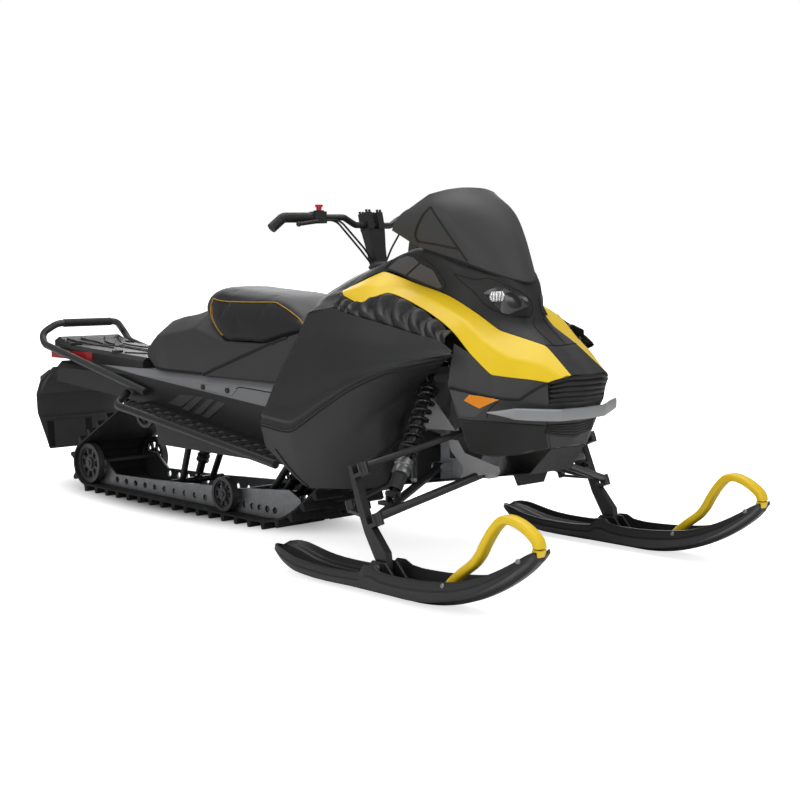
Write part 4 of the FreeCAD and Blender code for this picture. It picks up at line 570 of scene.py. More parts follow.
# %% Side panels
SIDE_TOP = [(391, 330, 804), (510, 322, 825), (583, 330, 811), (740, 335, 785), (897, 340, 758),
            (1022, 335, 732), (1055, 331, 711)]
SIDE_HIGH = [(387, 370, 714), (480, 372, 730), (590, 382, 722), (740, 384, 712), (880, 376, 700),
             (1008, 350, 702), (1056, 333, 704)]
SIDE_CREASE = [(251, 424, 436), (412, 432, 428), (560, 428, 508), (690, 422, 580), (830, 396, 640),
               (960, 365, 672), (1058, 334, 696)]
SIDE_MID = [(256, 418, 394), (425, 405, 330), (550, 405, 372), (650, 386, 425), (745, 352, 500),
            (822, 318, 560), (900, 284, 622)]
SIDE_LOW = [(262, 410, 354), (438, 372, 232), (530, 350, 236), (620, 330, 244), (720, 292, 262),
            (752, 270, 400), (800, 255, 545)]


def between(low, high, share):
    """The line that lies a share of the way from one line to another."""
    return [tuple(a + share * (b - a) for a, b in zip(p, q)) for p, q in zip(low, high)]


RIB_SHARES = (0.0, 0.07, 0.10, 0.19, 0.22, 0.55)
RIB_PUSH = (0, 0, 0.006, 0.006, 0, 0.010, 0.004, 0.004, 0)
SIDE_CORNERS = (0.004, 0.004, 0.006, 0.006, 0.05, 0.012, 0.008)
REAR_BOW = 0.011
REAR_CHAMFER = (-0.011, 0.013, 0)
face_lines = [between(SIDE_CREASE, SIDE_HIGH, share) for share in RIB_SHARES]
band_line = between(SIDE_HIGH, SIDE_TOP, 0.35)
side_half = flow(metres(face_lines + [SIDE_HIGH, band_line, SIDE_TOP]), 10, (1, 0.6, 1, 1, 1, 1, 1))
fade = np.clip(1.6 - 2.4 * np.linspace(0, 1, len(side_half)), 0, 1)[:, None]
side_half[..., 1] -= np.where(np.arange(9) < 5, fade, 1.0) * np.array(RIB_PUSH)
bow = REAR_BOW * np.sin(np.linspace(0, math.pi, side_half.shape[1]))[:, None] * np.array([1.0, 0, 0])
chamfer = side_half[0] + np.array(REAR_CHAMFER) - bow
side_half[0] -= bow
side_grid = soften(np.concatenate([chamfer[None], side_half]), SIDE_CORNERS)
side_skin("side_panel_pair", side_grid, "side_charcoal", replaces=["side_panels"])

lower_half = flow(metres([SIDE_CREASE, SIDE_MID, SIDE_LOW]), 10, (1, 0.5, 1, 1, 0.7, 0.7, 1))
side_skin("lower_panel_pair", soften(lower_half, 0.03), "side_charcoal", replaces=["lower_panels"])

# %% [markdown]
# ## Louvres
# Hot air leaves through curved ribs between the coloured panel and the side panel. They could
# be separate blades, but they are moulded in one piece, so one surface does it: across the
# panel it is a straight blend of the two edges, and along it a row of rounded ribs stands out.
# With s the place along the panel counted in ribs, and v the height from 0 to 1, a rib is
# `depth * sqrt(sin(pi * frac(s) / 0.66))` high where frac(s) < 0.66, and the groove is 0.
# Shifting s by a sine of v bends the ribs.

# %% Louvres
RIBS, RIB_POINTS = 8, 22
RIB_DEPTH, RIB_BED = 0.020, 0.006
RIB_SHARE, RIB_EDGE, RIB_BEND = 0.66, 0.12, 0.5


def louvre_grid():
    """The vent surface with its ribs, RIB_POINTS rows of points a rib."""
    ends = metres([SIDE_TOP[1:6], YELLOW_LOW[:5]])
    lines = flow(ends, RIBS * RIB_POINTS // 4)
    v = np.linspace(0, 1, 15)[None, :, None]
    base = lines[:, :1] * (1 - v) + lines[:, 1:] * v
    v = v[..., 0]
    s = np.linspace(0, RIBS, len(base))[:, None] + RIB_BEND * np.sin(math.pi * v)
    part = (s % 1.0) / RIB_SHARE
    height = np.sqrt(np.clip(np.sin(math.pi * np.clip(part, 0, 1)), 0, 1))
    edge = np.clip(np.minimum(v, 1 - v) / RIB_EDGE, 0, 1)
    return base + outer_normals(base) * (height * edge * RIB_DEPTH - RIB_BED)[..., None]


side_skin("louvre_pair", louvre_grid(), "black_plastic", replaces=["side_vents"], rim=0)

# %% [markdown]
# ## Nose
# Below the coloured panels the nose is faceted, with crisp creases both ways, so its lines are
# not run smooth: the corners are only softened. The grille between the hood's tip and the
# bumper is a stack of rounded slats that wrap round the nose.

# %% Nose fascia and grille
FASCIA_TOP = [(1030, 300, 731)] + YELLOW_LOW[5:]
FASCIA_MID = [(1004, 300, 604), (1082, 276, 590), (1150, 248, 576), (1216, 186, 563), (1262, 130, 552)]
FASCIA_LOW = [(1044, 296, 506), (1090, 280, 508), (1137, 252, 512), (1200, 186, 502), (1240, 110, 492)]
FASCIA_FOOT = [(1060, 262, 402), (1085, 245, 394), (1115, 224, 386), (1168, 160, 392), (1232, 84, 412)]

fascia_half = metres([FASCIA_TOP, FASCIA_MID, FASCIA_LOW, FASCIA_FOOT])
fascia_grid = soften(soften(fascia_half, 0.006), 0.010, axis=0)
fascia_side = outward(pull_in(fascia_grid, GAP))
centre_lines = [[FASCIA_MID[-1], FASCIA_LOW[-1], FASCIA_FOOT[-1]], [(1283, 0, 551), (1262, 0, 490), (1244, 0, 416)]]
centre_grid = outward(soften(soften(both_halves(metres(centre_lines)), 0.02), 0.008, axis=0))
fascia = shell(grid_mesh("nose_cover", [fascia_side, mirrored(fascia_side), centre_grid]))
dress(fascia, "charcoal_plastic", replaces=["nose_fascia"])

GRILLE_TOP = [YELLOW_LOW[-1], YELLOW_MID[-1], HOOD_EDGE[-1], HOOD_SPINE[-1]]
GRILLE_MID = [(1264, 135, 590), (1284, 108, 592), (1296, 80, 594), (1304, 0, 594)]
GRILLE_LOW = [FASCIA_MID[-1], (1266, 104, 552), (1271, 76, 551), (1283, 0, 551)]
SLATS, SLAT_DEPTH, SLAT_EDGE = 5, 0.010, 0.03


def grille_surface():
    """Slats: at height share v the face steps back by a rounded wave with SLATS crests."""
    rows = soften(flow(both_halves(metres(list(zip(GRILLE_TOP, GRILLE_MID, GRILLE_LOW)))), 30), 0.02)
    v = np.linspace(0, 1, len(rows))[:, None]
    wave = np.sqrt(np.clip(np.sin(math.pi * ((v * SLATS) % 1.0)), 0, 1))
    push = (wave - 1.0) * SLAT_DEPTH * np.clip(np.minimum(v, 1 - v) / SLAT_EDGE, 0, 1)
    return rows + outer_normals(rows) * push[..., None]


full_skin("grille_slats", grille_surface(), "hood_black", replaces=["grille"], rim=0)

# %% [markdown]
# ## Windshield
# The windshield is one deep, dark polycarbonate bowl: a rounded forehead at the top, a pointed
# foot between the headlamps, and a flat triangle pressed into each side. Five half lines run
# from its top to its foot. The two that edge the triangle keep a crease, the others are smooth.

# %% Windshield
SHIELD_LINES = [
    [(744, 210, 1139), (742, 214, 1137), (712, 238, 1100), (690, 232, 1072)],
    [(788, 162, 1185), (806, 180, 1139), (776, 184, 1088), (739, 162, 1019.5)],
    [(812, 112, 1200), (852, 156, 1141), (900, 154, 1072), (920, 140, 970)],
    [(826, 56, 1208), (908, 84, 1145), (980, 72, 1050), (1041, 62, 922)],
    [(832, 0, 1209.5), (921, 0, 1146), (1004, 0, 1051), (1067, 0, 909.5)],
]
SHIELD_CREASES = (1, 0.25, 0.3, 1, 1, 1, 0.3, 0.25, 1)
SHIELD_HIGHEST = 1.2098

shield_grid = flow(both_halves(metres(SHIELD_LINES)), 12, (1, 1.1, 1, 1))
shield_grid = flow(shield_grid, 10, SHIELD_CREASES, axis=1)
shield_grid[..., 2] = np.minimum(shield_grid[..., 2], SHIELD_HIGHEST)
full_skin("windshield_bowl", shield_grid, "black_gloss", replaces=["windshield"], wall=0.004, gap=0,
          centre=(0.76, 0, 1.04), rim=0.0016)

# %% [markdown]
# ## Console and steering boot
# Behind the hood a curved console closes the body round the steering post, and a ribbed rubber
# boot seals the hole. The boot is a surface of revolution about the raked post: at a share h
# of its height the radius is a taper plus a ripple, `r0 - k h + a sin(2 pi n h)`.

# %% Console and boot
CONSOLE_ROWS = [
    [(213, 201, 738), (213, 188, 748), (213, 170, 762), (212, 150, 776), (212, 120, 792), (211, 80, 805),
     (210, 0, 812)],
    [(318, 274, 775), (325, 262, 806), (328, 248, 826), (330, 225, 845), (332, 180, 872), (332, 120, 898),
     (330, 0, 916)],
    [(391, 327, 806), (408, 280, 842), (414, 258, 862), (416, 228, 876), (420, 170, 908), (424, 115, 936),
     (422, 0, 948)],
    [(508, 320, 826), YELLOW_LOW[0], YELLOW_MID[0], HOOD_EDGE[0], HOOD_SIDE[0], HOOD_SHOULDER[0], HOOD_SPINE[0]],
]
console_grid = soften(flow(both_halves(metres(list(zip(*CONSOLE_ROWS)))), 8, (1, 0.6, 0.6, 1)), 0.02)
full_skin("console_cover", console_grid, "hood_black", replaces=["console"], centre=(0.5, 0, 0.6))

POST_RAKE = math.radians(13.6)
POST_FOOT = np.array([0.386, 0.0, 0.936])
POST_UP = np.array([-math.sin(POST_RAKE), 0, math.cos(POST_RAKE)])
POST_AHEAD = np.array([math.cos(POST_RAKE), 0, math.sin(POST_RAKE)])


def turned(profile, foot, up, ahead, sides=40):
    """A surface of revolution: each (radius, height) of the profile makes a ring about the axis."""
    side = np.cross(up, ahead)
    angle = np.arange(sides) * 2 * math.pi / sides
    ring = np.cos(angle)[:, None] * ahead + np.sin(angle)[:, None] * side
    radius, height = np.asarray(profile, float).T
    return foot + radius[:, None, None] * ring + height[:, None, None] * up


BOOT_RADIUS, BOOT_TAPER, RIPPLE, RIPPLES = 0.047, 0.015, 0.0022, 5
BOOT_BOTTOM, BOOT_HEIGHT = -0.052, 0.088
BOOT_LIP = (0.0195, 0.037)
share = np.linspace(0, 1, 49)
boot_radius = BOOT_RADIUS - BOOT_TAPER * share + RIPPLE * np.sin(2 * math.pi * RIPPLES * share)
boot_profile = np.stack([boot_radius, BOOT_BOTTOM + BOOT_HEIGHT * share], axis=1)
boot_profile = np.concatenate([boot_profile, [BOOT_LIP]])
boot = outward(turned(boot_profile, POST_FOOT, POST_UP, POST_AHEAD), POST_FOOT)
dress(grid_mesh("steering_boot", [boot], wrap=True), "flap_rubber")

# %% [markdown]
# ## Closed forms
# The seat base, the cushion and the skis are closed bodies: rings of points along the machine,
# run smooth from ring to ring, with their corners softened and both ends closed by a fan.

# %% Closed form helper


MERGE, SHARP = 0.00002, math.radians(40)


def tidy(piece):
    """Merges doubled points, and turns all faces outwards."""
    work = bmesh.new()
    work.from_mesh(piece.data)
    bmesh.ops.remove_doubles(work, verts=work.verts, dist=MERGE)
    bmesh.ops.recalc_face_normals(work, faces=work.faces)
    work.to_mesh(piece.data)
    work.free()
    piece.data.set_sharp_from_angle(angle=SHARP)
    return piece


def capped(grid):
    """A tube's grid with a fan at each end."""
    ends = [np.repeat(grid[i].mean(axis=0, keepdims=True), grid.shape[1], axis=0)[None] for i in (0, -1)]
    return np.concatenate([ends[0], grid, ends[1]])


def solid(name, grids):
    """A closed mesh from grids that wrap round."""
    return tidy(grid_mesh(name, grids, wrap=True))


def closed_form(name, rings, radius, steps, ease, corner_steps=3):
    """A closed body through rings of (x, y, z) in metres, all with as many corners. The corners are
    softened round each ring, and the rings are joined by smooth curves. Ends are fans of triangles."""
    grid = flow(np.array(rings, float), steps, ease)
    return solid(name, [capped(soften(grid, radius, steps=corner_steps, closed=True))])


print("closed form helper ready")

# %% [markdown]
# ## Seat base
# Under the cushion lies a firm moulded base. It rises from the tail to a hump behind the rider
# and falls away under the cushion.

# %% Seat base
BASE_HALF, TUNNEL_TOP = 0.192, 0.5455


def base_ring(x, bottom, top, half, shoulder):
    """A section of the base at x: a flat foot, upright sides and chamfered shoulders."""
    flat = half - 1.4 * shoulder
    profile = [(-half, bottom), (half, bottom), (half, top - shoulder), (flat, top), (-flat, top),
               (-half, top - shoulder)]
    return [(x, y, z) for y, z in profile]


BASE_STATIONS = [(-0.801, TUNNEL_TOP + 0.042, 0.641, 0.162, 0.012), (-0.712, TUNNEL_TOP, 0.740, 0.180, 0.060),
                 (-0.640, TUNNEL_TOP, 0.757, BASE_HALF, 0.070), (-0.556, TUNNEL_TOP, 0.769, BASE_HALF, 0.070),
                 (-0.449, TUNNEL_TOP, 0.798, BASE_HALF, 0.080), (-0.267, TUNNEL_TOP, 0.681, BASE_HALF, 0.008),
                 (-0.031, TUNNEL_TOP, 0.681, BASE_HALF, 0.008), (0.211, TUNNEL_TOP, 0.736, BASE_HALF, 0.008)]
base = closed_form("seat_base_moulding", [base_ring(*row) for row in BASE_STATIONS], 0.012, 6,
                   (1, 0.2, 0.5, 0.5, 0.2, 0.1, 0.3, 1))
dress(base, "charcoal_plastic", replaces=["seat_base"])

# %% [markdown]
# ## Seat cushion
# The cushion is foam under a sewn cover. It could be carved by hand, but a cover that is under
# pressure finds its own shape. So a closed form is blown up by a cloth simulation, and each
# point is held within a few millimetres of its start. Piping and stitches come after it.

# %% Cushion form
PAD_STATIONS = [
    (-0.446, 0.8005, 0.826, 0.126, 0.116), (-0.405, 0.7715, 0.862, 0.160, 0.138),
    (-0.360, 0.7430, 0.874, 0.174, 0.148), (-0.267, 0.6825, 0.871, 0.184, 0.149),
    (-0.150, 0.6820, 0.864, 0.184, 0.149), (-0.031, 0.6820, 0.856, 0.184, 0.148),
    (0.070, 0.7060, 0.838, 0.183, 0.146), (0.148, 0.7230, 0.801, 0.182, 0.146), (0.203, 0.7365, 0.754, 0.180, 0.156)]


PAD_CROWN = [(1, 0.014), (0.6, 0.002), (0, 0), (-0.6, 0.002), (-1, 0.014)]
PAD_WAIST = 0.45


def pad_ring(x, bottom, top, half_low, half_top):
    """A section of the cushion: upright low sides, leaning high sides, and a crowned top."""
    crown = [(share * half_top, top - drop) for share, drop in PAD_CROWN]
    waist = bottom + (top - bottom) * PAD_WAIST
    profile = [(-half_low, bottom), (half_low, bottom), (half_low, waist)] + crown + [(-half_low, waist)]
    return [(x, y, z) for y, z in profile]


def per_vertex(mesh, field):
    """The vertices' co or normal, as rows of three."""
    values = np.empty(len(mesh.vertices) * 3)
    mesh.vertices.foreach_get(field, values)
    return values.reshape(-1, 3)


PAD_HALF = 0.188
SWELL_LOW, SWELL_FROM, SWELL_OVER = 0.35, 0.70, 0.1
# How far up a cushion face must turn before it gets the painted highlight.
HIGHLIGHT_FROM, HIGHLIGHT_OVER = 0.62, 0.2


def swell(piece, cap, pressure=4.0, frames=20, voxel=0.007):
    """Foam under a cover: remesh evenly, blow up with Cloth, hold each point within cap of its start,
    or within SWELL_LOW of that near the foot."""
    bpy.context.view_layer.objects.active = piece
    remesh = piece.modifiers.new("even", "REMESH")
    remesh.mode = "VOXEL"
    remesh.voxel_size = voxel
    bpy.ops.object.modifier_apply(modifier="even")
    start = per_vertex(piece.data, "co")
    cloth = piece.modifiers.new("cover", "CLOTH")
    cloth.settings.use_pressure = True
    cloth.settings.uniform_pressure_force = pressure
    cloth.settings.effector_weights.gravity = 0
    cloth.point_cache.frame_end = frames
    for frame_number in range(1, frames + 1):
        bpy.context.scene.frame_set(frame_number)
    bpy.ops.object.modifier_apply(modifier="cover")
    bpy.context.scene.frame_set(1)
    shift = per_vertex(piece.data, "co") - start
    length = np.linalg.norm(shift, axis=1, keepdims=True) + 1e-9
    high = np.clip((start[:, 2:] - SWELL_FROM) / SWELL_OVER, 0, 1)
    limit = cap * (SWELL_LOW + (1 - SWELL_LOW) * high)
    held = start + shift * np.minimum(1.0, limit / length)
    foot_x, foot_z = np.transpose(PAD_STATIONS)[:2]
    floor_of_pad = np.interp(start[:, 0], foot_x, foot_z)
    held[:, 2] = np.maximum(held[:, 2], np.minimum(floor_of_pad, start[:, 2]))
    held[:, 1] = np.clip(held[:, 1], -PAD_HALF, PAD_HALF)
    piece.data.vertices.foreach_set("co", held.ravel())
    piece.data.update()


cushion = closed_form("seat_pad", [pad_ring(*row) for row in PAD_STATIONS], 0.028, 6, 1.0)
swell(cushion, 0.004)
cushion.data.polygons.foreach_set("use_smooth", np.ones(len(cushion.data.polygons), bool))
# The paler colour on the cushion's upward faces is a painted highlight, not a separate top panel.
upward = per_vertex(cushion.data, "normal")[:, 2]
painted_top_highlight = cushion.data.attributes.new("painted_top_highlight", "FLOAT", "POINT")
painted_top_highlight.data.foreach_set("value", np.clip((upward - HIGHLIGHT_FROM) / HIGHLIGHT_OVER, 0, 1))
dress(cushion, "seat_vinyl", replaces=["seat_cushion"])

# %% [markdown]
# ## Tubes, piping and loops
# Piping, seams and the ski loops are one profile carried along a path. At each point the profile
# stands square to the path, and one fixed upward direction keeps it from twisting on the way.

# %% Sweep helper


def smooth_path(points, steps=8, ease=1.0):
    """A smooth path through points given in metres."""
    return flow(np.array(points, float)[:, None, :], steps, ease)[:, 0]


def sweep(path, profile, up=(0, 0, 1)):
    """Carries a closed profile of (sideways, upward) offsets along a path. Sideways is the path's
    direction crossed with up, and upward is square to both."""
    path = np.asarray(path, float)
    way = np.gradient(path, axis=0)
    way /= np.linalg.norm(way, axis=1, keepdims=True)
    side = np.cross(way, np.asarray(up, float))
    side /= np.linalg.norm(side, axis=1, keepdims=True)
    high = np.cross(side, way)
    profile = np.asarray(profile, float)
    return path[:, None] + profile[None, :, :1] * side[:, None] + profile[None, :, 1:] * high[:, None]


def round_profile(radius, sides):
    """A circle as a ring of (sideways, upward) points."""
    angle = np.arange(sides) * 2 * math.pi / sides
    return np.stack([np.cos(angle), np.sin(angle)], axis=1) * radius


def bar_profile(half_wide, half_thick, powers, sides):
    """A rounded bar's section: the signed powers of a cosine and a sine, which square the circle up."""
    wave = round_profile(1.0, sides)
    return np.sign(wave) * np.abs(wave)**np.array(powers) * np.array([half_wide, half_thick])


def tubes(name, grids):
    """Swept grids as one closed piece, each with its ends capped."""
    return solid(name, [capped(grid) for grid in grids])


def both_sides(spots):
    """A path or a grid on the right side, and its mirror image."""
    return [spots, spots * FLIP]


print("sweep helpers ready")

# %% Ski loops
STANCE = 0.5385
FRONT = 1.595
LOOP_PATH = [(-345, 66), (-333, 80), (-293, 114), (-246, 150), (-226, 174), (-204, 212), (-171, 258), (-148, 279),
             (-121, 285.5), (-83, 278), (-42, 257), (-21.5, 239), (-16.5, 223), (-22, 203)]
LOOP_SECTION = bar_profile(0.0197, 0.0135, (0.625, 0.625), 16)
for side, label in SIDES:
    path = smooth_path([(FRONT + x * MM, side * STANCE, z * MM) for x, z in LOOP_PATH], 6, 0.8)
    loop = tubes("ski_handle_" + label, [sweep(path, LOOP_SECTION, up=(0.01, 0, 1))])
    dress(loop, "yellow_plastic", "skis_" + label, replaces=["ski_loop_" + label])

# %% [markdown]
# ## Things that lie on a panel
# Seams, lenses, doors and piping follow a surface that already exists. They could be cut into
# it, but a cut needs clean edges on both sides of it. It is simpler to drop points onto the
# finished panel along one direction, as light falls on it, and to build a thin piece where
# they land. The right side is laid, and the left one is its mirror image.

# %% Laying helpers


@functools.cache
def skin_of(panel):
    """The finished skin of a node or a piece, made ready for rays once."""
    bpy.context.view_layer.update()
    piece = NODES[panel] if panel in NODES else bpy.data.objects[panel]
    return BVHTree.FromObject(piece, bpy.context.evaluated_depsgraph_get())


REACH = 0.3


def lay(panel, spots, way, lift):
    """Moves each point along way onto a panel, then outwards along the normal by lift. The rays start
    REACH before the point, and a ray that misses takes the nearest place."""
    skin, way = skin_of(panel), Vector(way).normalized()
    laid = []
    for spot, rise in zip(spots.reshape(-1, 3), np.broadcast_to(lift, spots.shape[:-1]).ravel()):
        hit, normal, _, _ = skin.ray_cast(Vector(spot) - way * REACH, way)
        if hit is None:
            hit, normal, _, _ = skin.find_nearest(Vector(spot))
        out = -normal if normal.dot(way) > 0 else normal
        laid.append(hit + out * float(rise))
    return np.array(laid).reshape(spots.shape)


CORD_SIDES, CORD_UP = 6, (0.1, 0.05, 1)


def cords_on(name, panel, lines, way, radius=0.0014, sink=0.3, ease=0.7, slot="seam_black"):
    """Thin cords along lines of (x, y, z) in millimetres, sunk by a share of their radius."""
    grids = []
    for line in lines:
        path = lay(panel, smooth_path(mm(line), 8, ease), way, radius * (1 - 2 * sink))
        grids += [sweep(side, round_profile(radius, CORD_SIDES), CORD_UP) for side in both_sides(path)]
    dress(tubes(name, grids), slot)


LENS_SINK = 0.002
DOOR_RIM = 0.0005


def lens_on(name, panel, outline, way, slot, crown, lift=0.0008, rings=7):
    """A crowned lens within a closed outline: at share s of the radius it stands lift + crown(1 - s^2) proud."""
    edge = smooth_path(mm(outline + outline[:1]), 5, 0.9)[:-1]
    centre = edge.mean(axis=0)
    share = np.linspace(1, 0.02, rings)[:, None, None]
    grid = lay(panel, centre + (edge - centre) * share, way, lift + crown * (1 - share[..., 0]**2))
    grid = np.concatenate([lay(panel, edge[None], way, -LENS_SINK), grid])
    dress(solid(name, [grid, grid[:, ::-1] * FLIP]), slot)


def resample(line, count):
    """The same line with its points spread evenly by length."""
    run = np.concatenate([[0], np.cumsum(np.linalg.norm(np.diff(line, axis=0), axis=1))])
    even = np.linspace(0, run[-1], count)
    return np.stack([np.interp(even, run, line[:, axis]) for axis in range(3)], axis=1)


def door_on(name, panel, outlines, way, slot, lift=0.0016, wall=0.0014, ribs=0, depth=0.0022):
    """Thin plates between two lines, laid on a panel. With ribs, the plate rises by |sin| waves from one line
    to the other."""
    grids = []
    count = ribs * 6 + 1 if ribs else 8
    wave = depth * np.abs(np.sin(math.pi * ribs * np.linspace(0, 1, count)))
    for low, high in outlines:
        low, high = [resample(mm(line), 14) for line in (low, high)]
        share = np.linspace(0, 1, count)[None, :, None]
        spots = low[:, None] * (1 - share) + high[:, None] * share
        grid = outward(lay(panel, spots, way, lift + wave))
        grids += [grid, mirrored(grid)]
    dress(shell(grid_mesh(name, grids), wall, DOOR_RIM), slot)


def prism(ring, axis, ends):
    """A ring of points that lack one axis, placed at two values of that axis."""
    return [np.insert(np.array(ring, float), axis, end, axis=1) for end in ends]


def plates(name, pairs, slot, rim=0.0008, both=True, body="chassis"):
    """Closed plates, each between two rings of (x, y, z) in millimetres with as many corners. With both,
    their mirror images are added."""
    pairs = [[mm(ring) for ring in pair] for pair in pairs]
    if both:
        pairs += [[ring * FLIP for ring in pair] for pair in pairs]
    spots, faces = [], []
    for back, front in pairs:
        near = len(spots) + np.arange(len(back))
        after, count = np.roll(near, -1), len(near)
        spots += [tuple(spot) for spot in np.concatenate([back, front])]
        faces += [near[::-1].tolist(), (near + count).tolist()]
        faces += np.stack([near, after, after + count, near + count], axis=1).tolist()
    piece = tidy(make_piece(name, spots, faces, smooth=False))
    if rim:
        round_edges(piece, rim)
    dress(piece, slot, body)


print("laying helpers ready")

# %% [markdown]
# ## Headlamps, seams and the storage door
# Each headlamp is a black almond let into the hood, with a small bright reflector at its outer
# end and a fine line like an eyelid round both. The hood has a storage door on each side, made
# of two paler plates.

# %% Headlamps and hood seams
FROM_FRONT_RIGHT = (-0.55, 0.83, -0.05)
EYE = [(888, -152, 936), (954, -129, 919), (1000, -106, 922), (1038, -83, 903), (1071, -47, 882), (1090, -24, 856),
       (1098, -20, 834), (1103, -30, 806), (1072, -71, 805), (1028, -106, 821), (993, -126, 845), (954, -135, 883),
       (909, -148, 916)]
LENS = [(984, -118, 877), (1004, -106, 890), (1040, -86, 890), (1065, -58, 878), (1087, -30, 856), (1079, -53, 834),
        (1044, -92, 830), (1018, -106, 845)]
lens_on("headlamp_lens_pair", "hood_cover", LENS, FROM_FRONT_RIGHT, "lamp_lens", crown=0.004)
REFLECTOR = ([(1003, -109, 850), (999, -110, 864), (1005, -107, 880)],
             [(1040, -92, 853), (1044, -90, 868), (1038, -90, 883)])
door_on("headlamp_reflectors", "headlamp_lens_pair", [REFLECTOR], FROM_FRONT_RIGHT, "reflector_chrome",
        lift=0.0005, wall=0.0006, ribs=5)
cords_on("headlamp_lids", "hood_cover", [EYE + EYE[:1]], FROM_FRONT_RIGHT, 0.0016)
HOOD_SEAMS = [[(1196, -76, 722), (1194, -40, 721), (1193, 0, 721)],
              [(1106, -22, 800), (1112, -30, 786), (1194, -29, 720)]]
cords_on("hood_seams", "hood_cover", HOOD_SEAMS, (-0.5, 0.2, -0.8))
FROM_DOOR_SIDE = (0, 1, -0.2)
DOOR_LINE = [(583, -160, 950), (612, -150, 990), (676, -147, 1000), (725, -158, 994), (815, -162, 952),
             (858, -160, 895), (846, -162, 880)]
cords_on("hood_door_lines", "hood_cover", [DOOR_LINE], FROM_DOOR_SIDE)
DOOR_PLATES = [([(596, -160, 952), (681, -160, 930)],
                [(634, -150, 982), (680, -152, 990), (718, -158, 986), (745, -160, 969)]),
               ([(690, -160, 927), (832, -160, 888)], [(752, -160, 966), (809, -162, 945), (846, -162, 894)])]
door_on("hood_door_plates", "hood_cover", DOOR_PLATES, FROM_DOOR_SIDE, "door_grey")
GASKET_TRIM, GASKET_DROP = 12, np.array([0, 0, -0.001])
shield_foot = shield_grid[-1, GASKET_TRIM:-GASKET_TRIM] + GASKET_DROP
dress(tubes("windshield_gasket", [sweep(shield_foot, round_profile(0.004, 8), up=(0.3, 0, 1))]), "seam_black")

# %% [markdown]
# ## Piping and stitches
# A coloured cord is sewn in where the seat's top meets its side, and runs down the rear edge
# with a line of stitches beside it.

# %% Seat piping
TOP_PIPING = [(-362, -158, 834), (-331, -162, 829), (-220, -163, 825), (-100, -160, 826), (7, -154, 826),
              (77, -160, 804), (140, -162, 776), (184, -166, 748)]
REAR_PIPING = [(-362, -158, 834), (-366, -163, 800), (-350, -172, 755), (-318, -182, 716), (-290, -184, 694)]
FROM_SEAT_SIDE = (0, 1, -0.35)
cords_on("seat_piping", "seat_pad", [TOP_PIPING, REAR_PIPING], FROM_SEAT_SIDE, 0.0016, 0.1, slot="piping_yellow")
stitch_line = [(x + 9, y, z + 1) for x, y, z in REAR_PIPING[1:]]
cords_on("seat_stitches", "seat_pad", [stitch_line], FROM_SEAT_SIDE, 0.0009, 0.2, slot="piping_yellow")

# %% [markdown]
# ## Skis
# Each ski is a deep moulded channel: a keel below, flared sides that rise into a saddle round
# the spindle's bolt, and both ends swept up and narrowed. One ring of points serves all along;
# the table gives its base height, width, wall height and deck height at each station.

# %% Skis
SKI_HALF = 70
SKI_STATIONS = [
    (512, 64, 0.45, 22, 16), (528, 52, 0.70, 36, 22), (556, 36, 0.86, 50, 30), (600, 17, 0.96, 60, 36),
    (640, 6, 1.0, 63, 38), (690, 0, 1.0, 63, 39), (900, 0, 1.0, 64, 40), (945, 0, 1.0, 70, 40), (966, 0, 1.0, 94, 40),
    (1002, 0, 1.0, 96, 40), (1030, 0, 1.0, 84, 40), (1075, 0, 1.0, 80, 40), (1150, 0, 1.0, 82, 40),
    (1250, 12, 1.0, 78, 42), (1350, 40, 0.97, 66, 40), (1450, 86, 0.92, 55, 36), (1530, 138, 0.78, 46, 30),
    (1570, 172, 0.64, 38, 24), (1584, 188, 0.52, 30, 20)]


def ski_ring(side, x, base, width, wall, deck):
    """Half the ring, from the keel's middle out and up the wall, over its lip and in along the deck."""
    b = SKI_HALF * width
    half = [(0, 0), (13, 0), (20, 13), (b - 3, 18), (b + 2.5, wall * 0.6), (b, wall * 0.66), (b - 1, wall),
            (b - 7, wall), (b - 11, deck + 3), (b * 0.55, deck), (b * 0.5, deck - 4), (0, deck - 4)]
    ring = half + [(-y, z) for y, z in half[-2:0:-1]]
    return [(x * MM, side * STANCE + y * MM, (base + z) * MM) for y, z in ring]


SKI_EASE = (1, 1, 1, 1, 1, 1, 0.3, 0.2, 0.2, 0.2, 0.2, 0.3, 1, 1, 1, 1, 1, 1, 1)
SADDLE, CHEEKS = [(894, 36), (1074, 36), (1014, 98), (954, 98)], [(-27, -18), (18, 27)]
BOLT_X, BOLT_Z = 0.984, 0.078
BOLT = [(0.0005, -0.036), (0.011, -0.036), (0.011, -0.030), (0.007, -0.030), (0.007, 0.030), (0.011, 0.030),
        (0.011, 0.036), (0.0005, 0.036)]
SCREW = [(0.0001, 0.0055), (0.006, 0.005), (0.008, 0.0), (0.0001, 0.0)]
SCREW_PLACES = [(1.288, 0.067, 0.084), (1.548, 0.0505, 0.190)]
AHEAD, ACROSS = np.array([1.0, 0, 0]), np.array([0, 1.0, 0])
for side, label in SIDES:
    body, middle = "skis_" + label, side * STANCE
    ski = closed_form("ski_blade_" + label, [ski_ring(side, *row) for row in SKI_STATIONS], 0.0035, 5, SKI_EASE, 2)
    for point in ski.data.vertices:
        point.co.z = max(point.co.z, 0.0)
    dress(ski, "ski_plastic", body, replaces=["ski_" + label])
    cheeks = [prism(SADDLE, 1, middle / MM + np.array(cheek)) for cheek in CHEEKS]
    plates("ski_saddle_" + label, cheeks, "ski_plastic", 0.003, False, body)
    pin = turned(BOLT, np.array([BOLT_X, middle, BOLT_Z]), ACROSS, AHEAD, 12)
    dress(solid("ski_bolt_" + label, [pin]), "silver_aluminium", body)
    heads = [turned(SCREW, np.array([x, middle + out * y, z]), ACROSS * out, AHEAD, 12)
             for x, y, z in SCREW_PLACES for out in (-1, 1)]
    dress(solid("ski_screws_" + label, heads), "silver_aluminium", body)

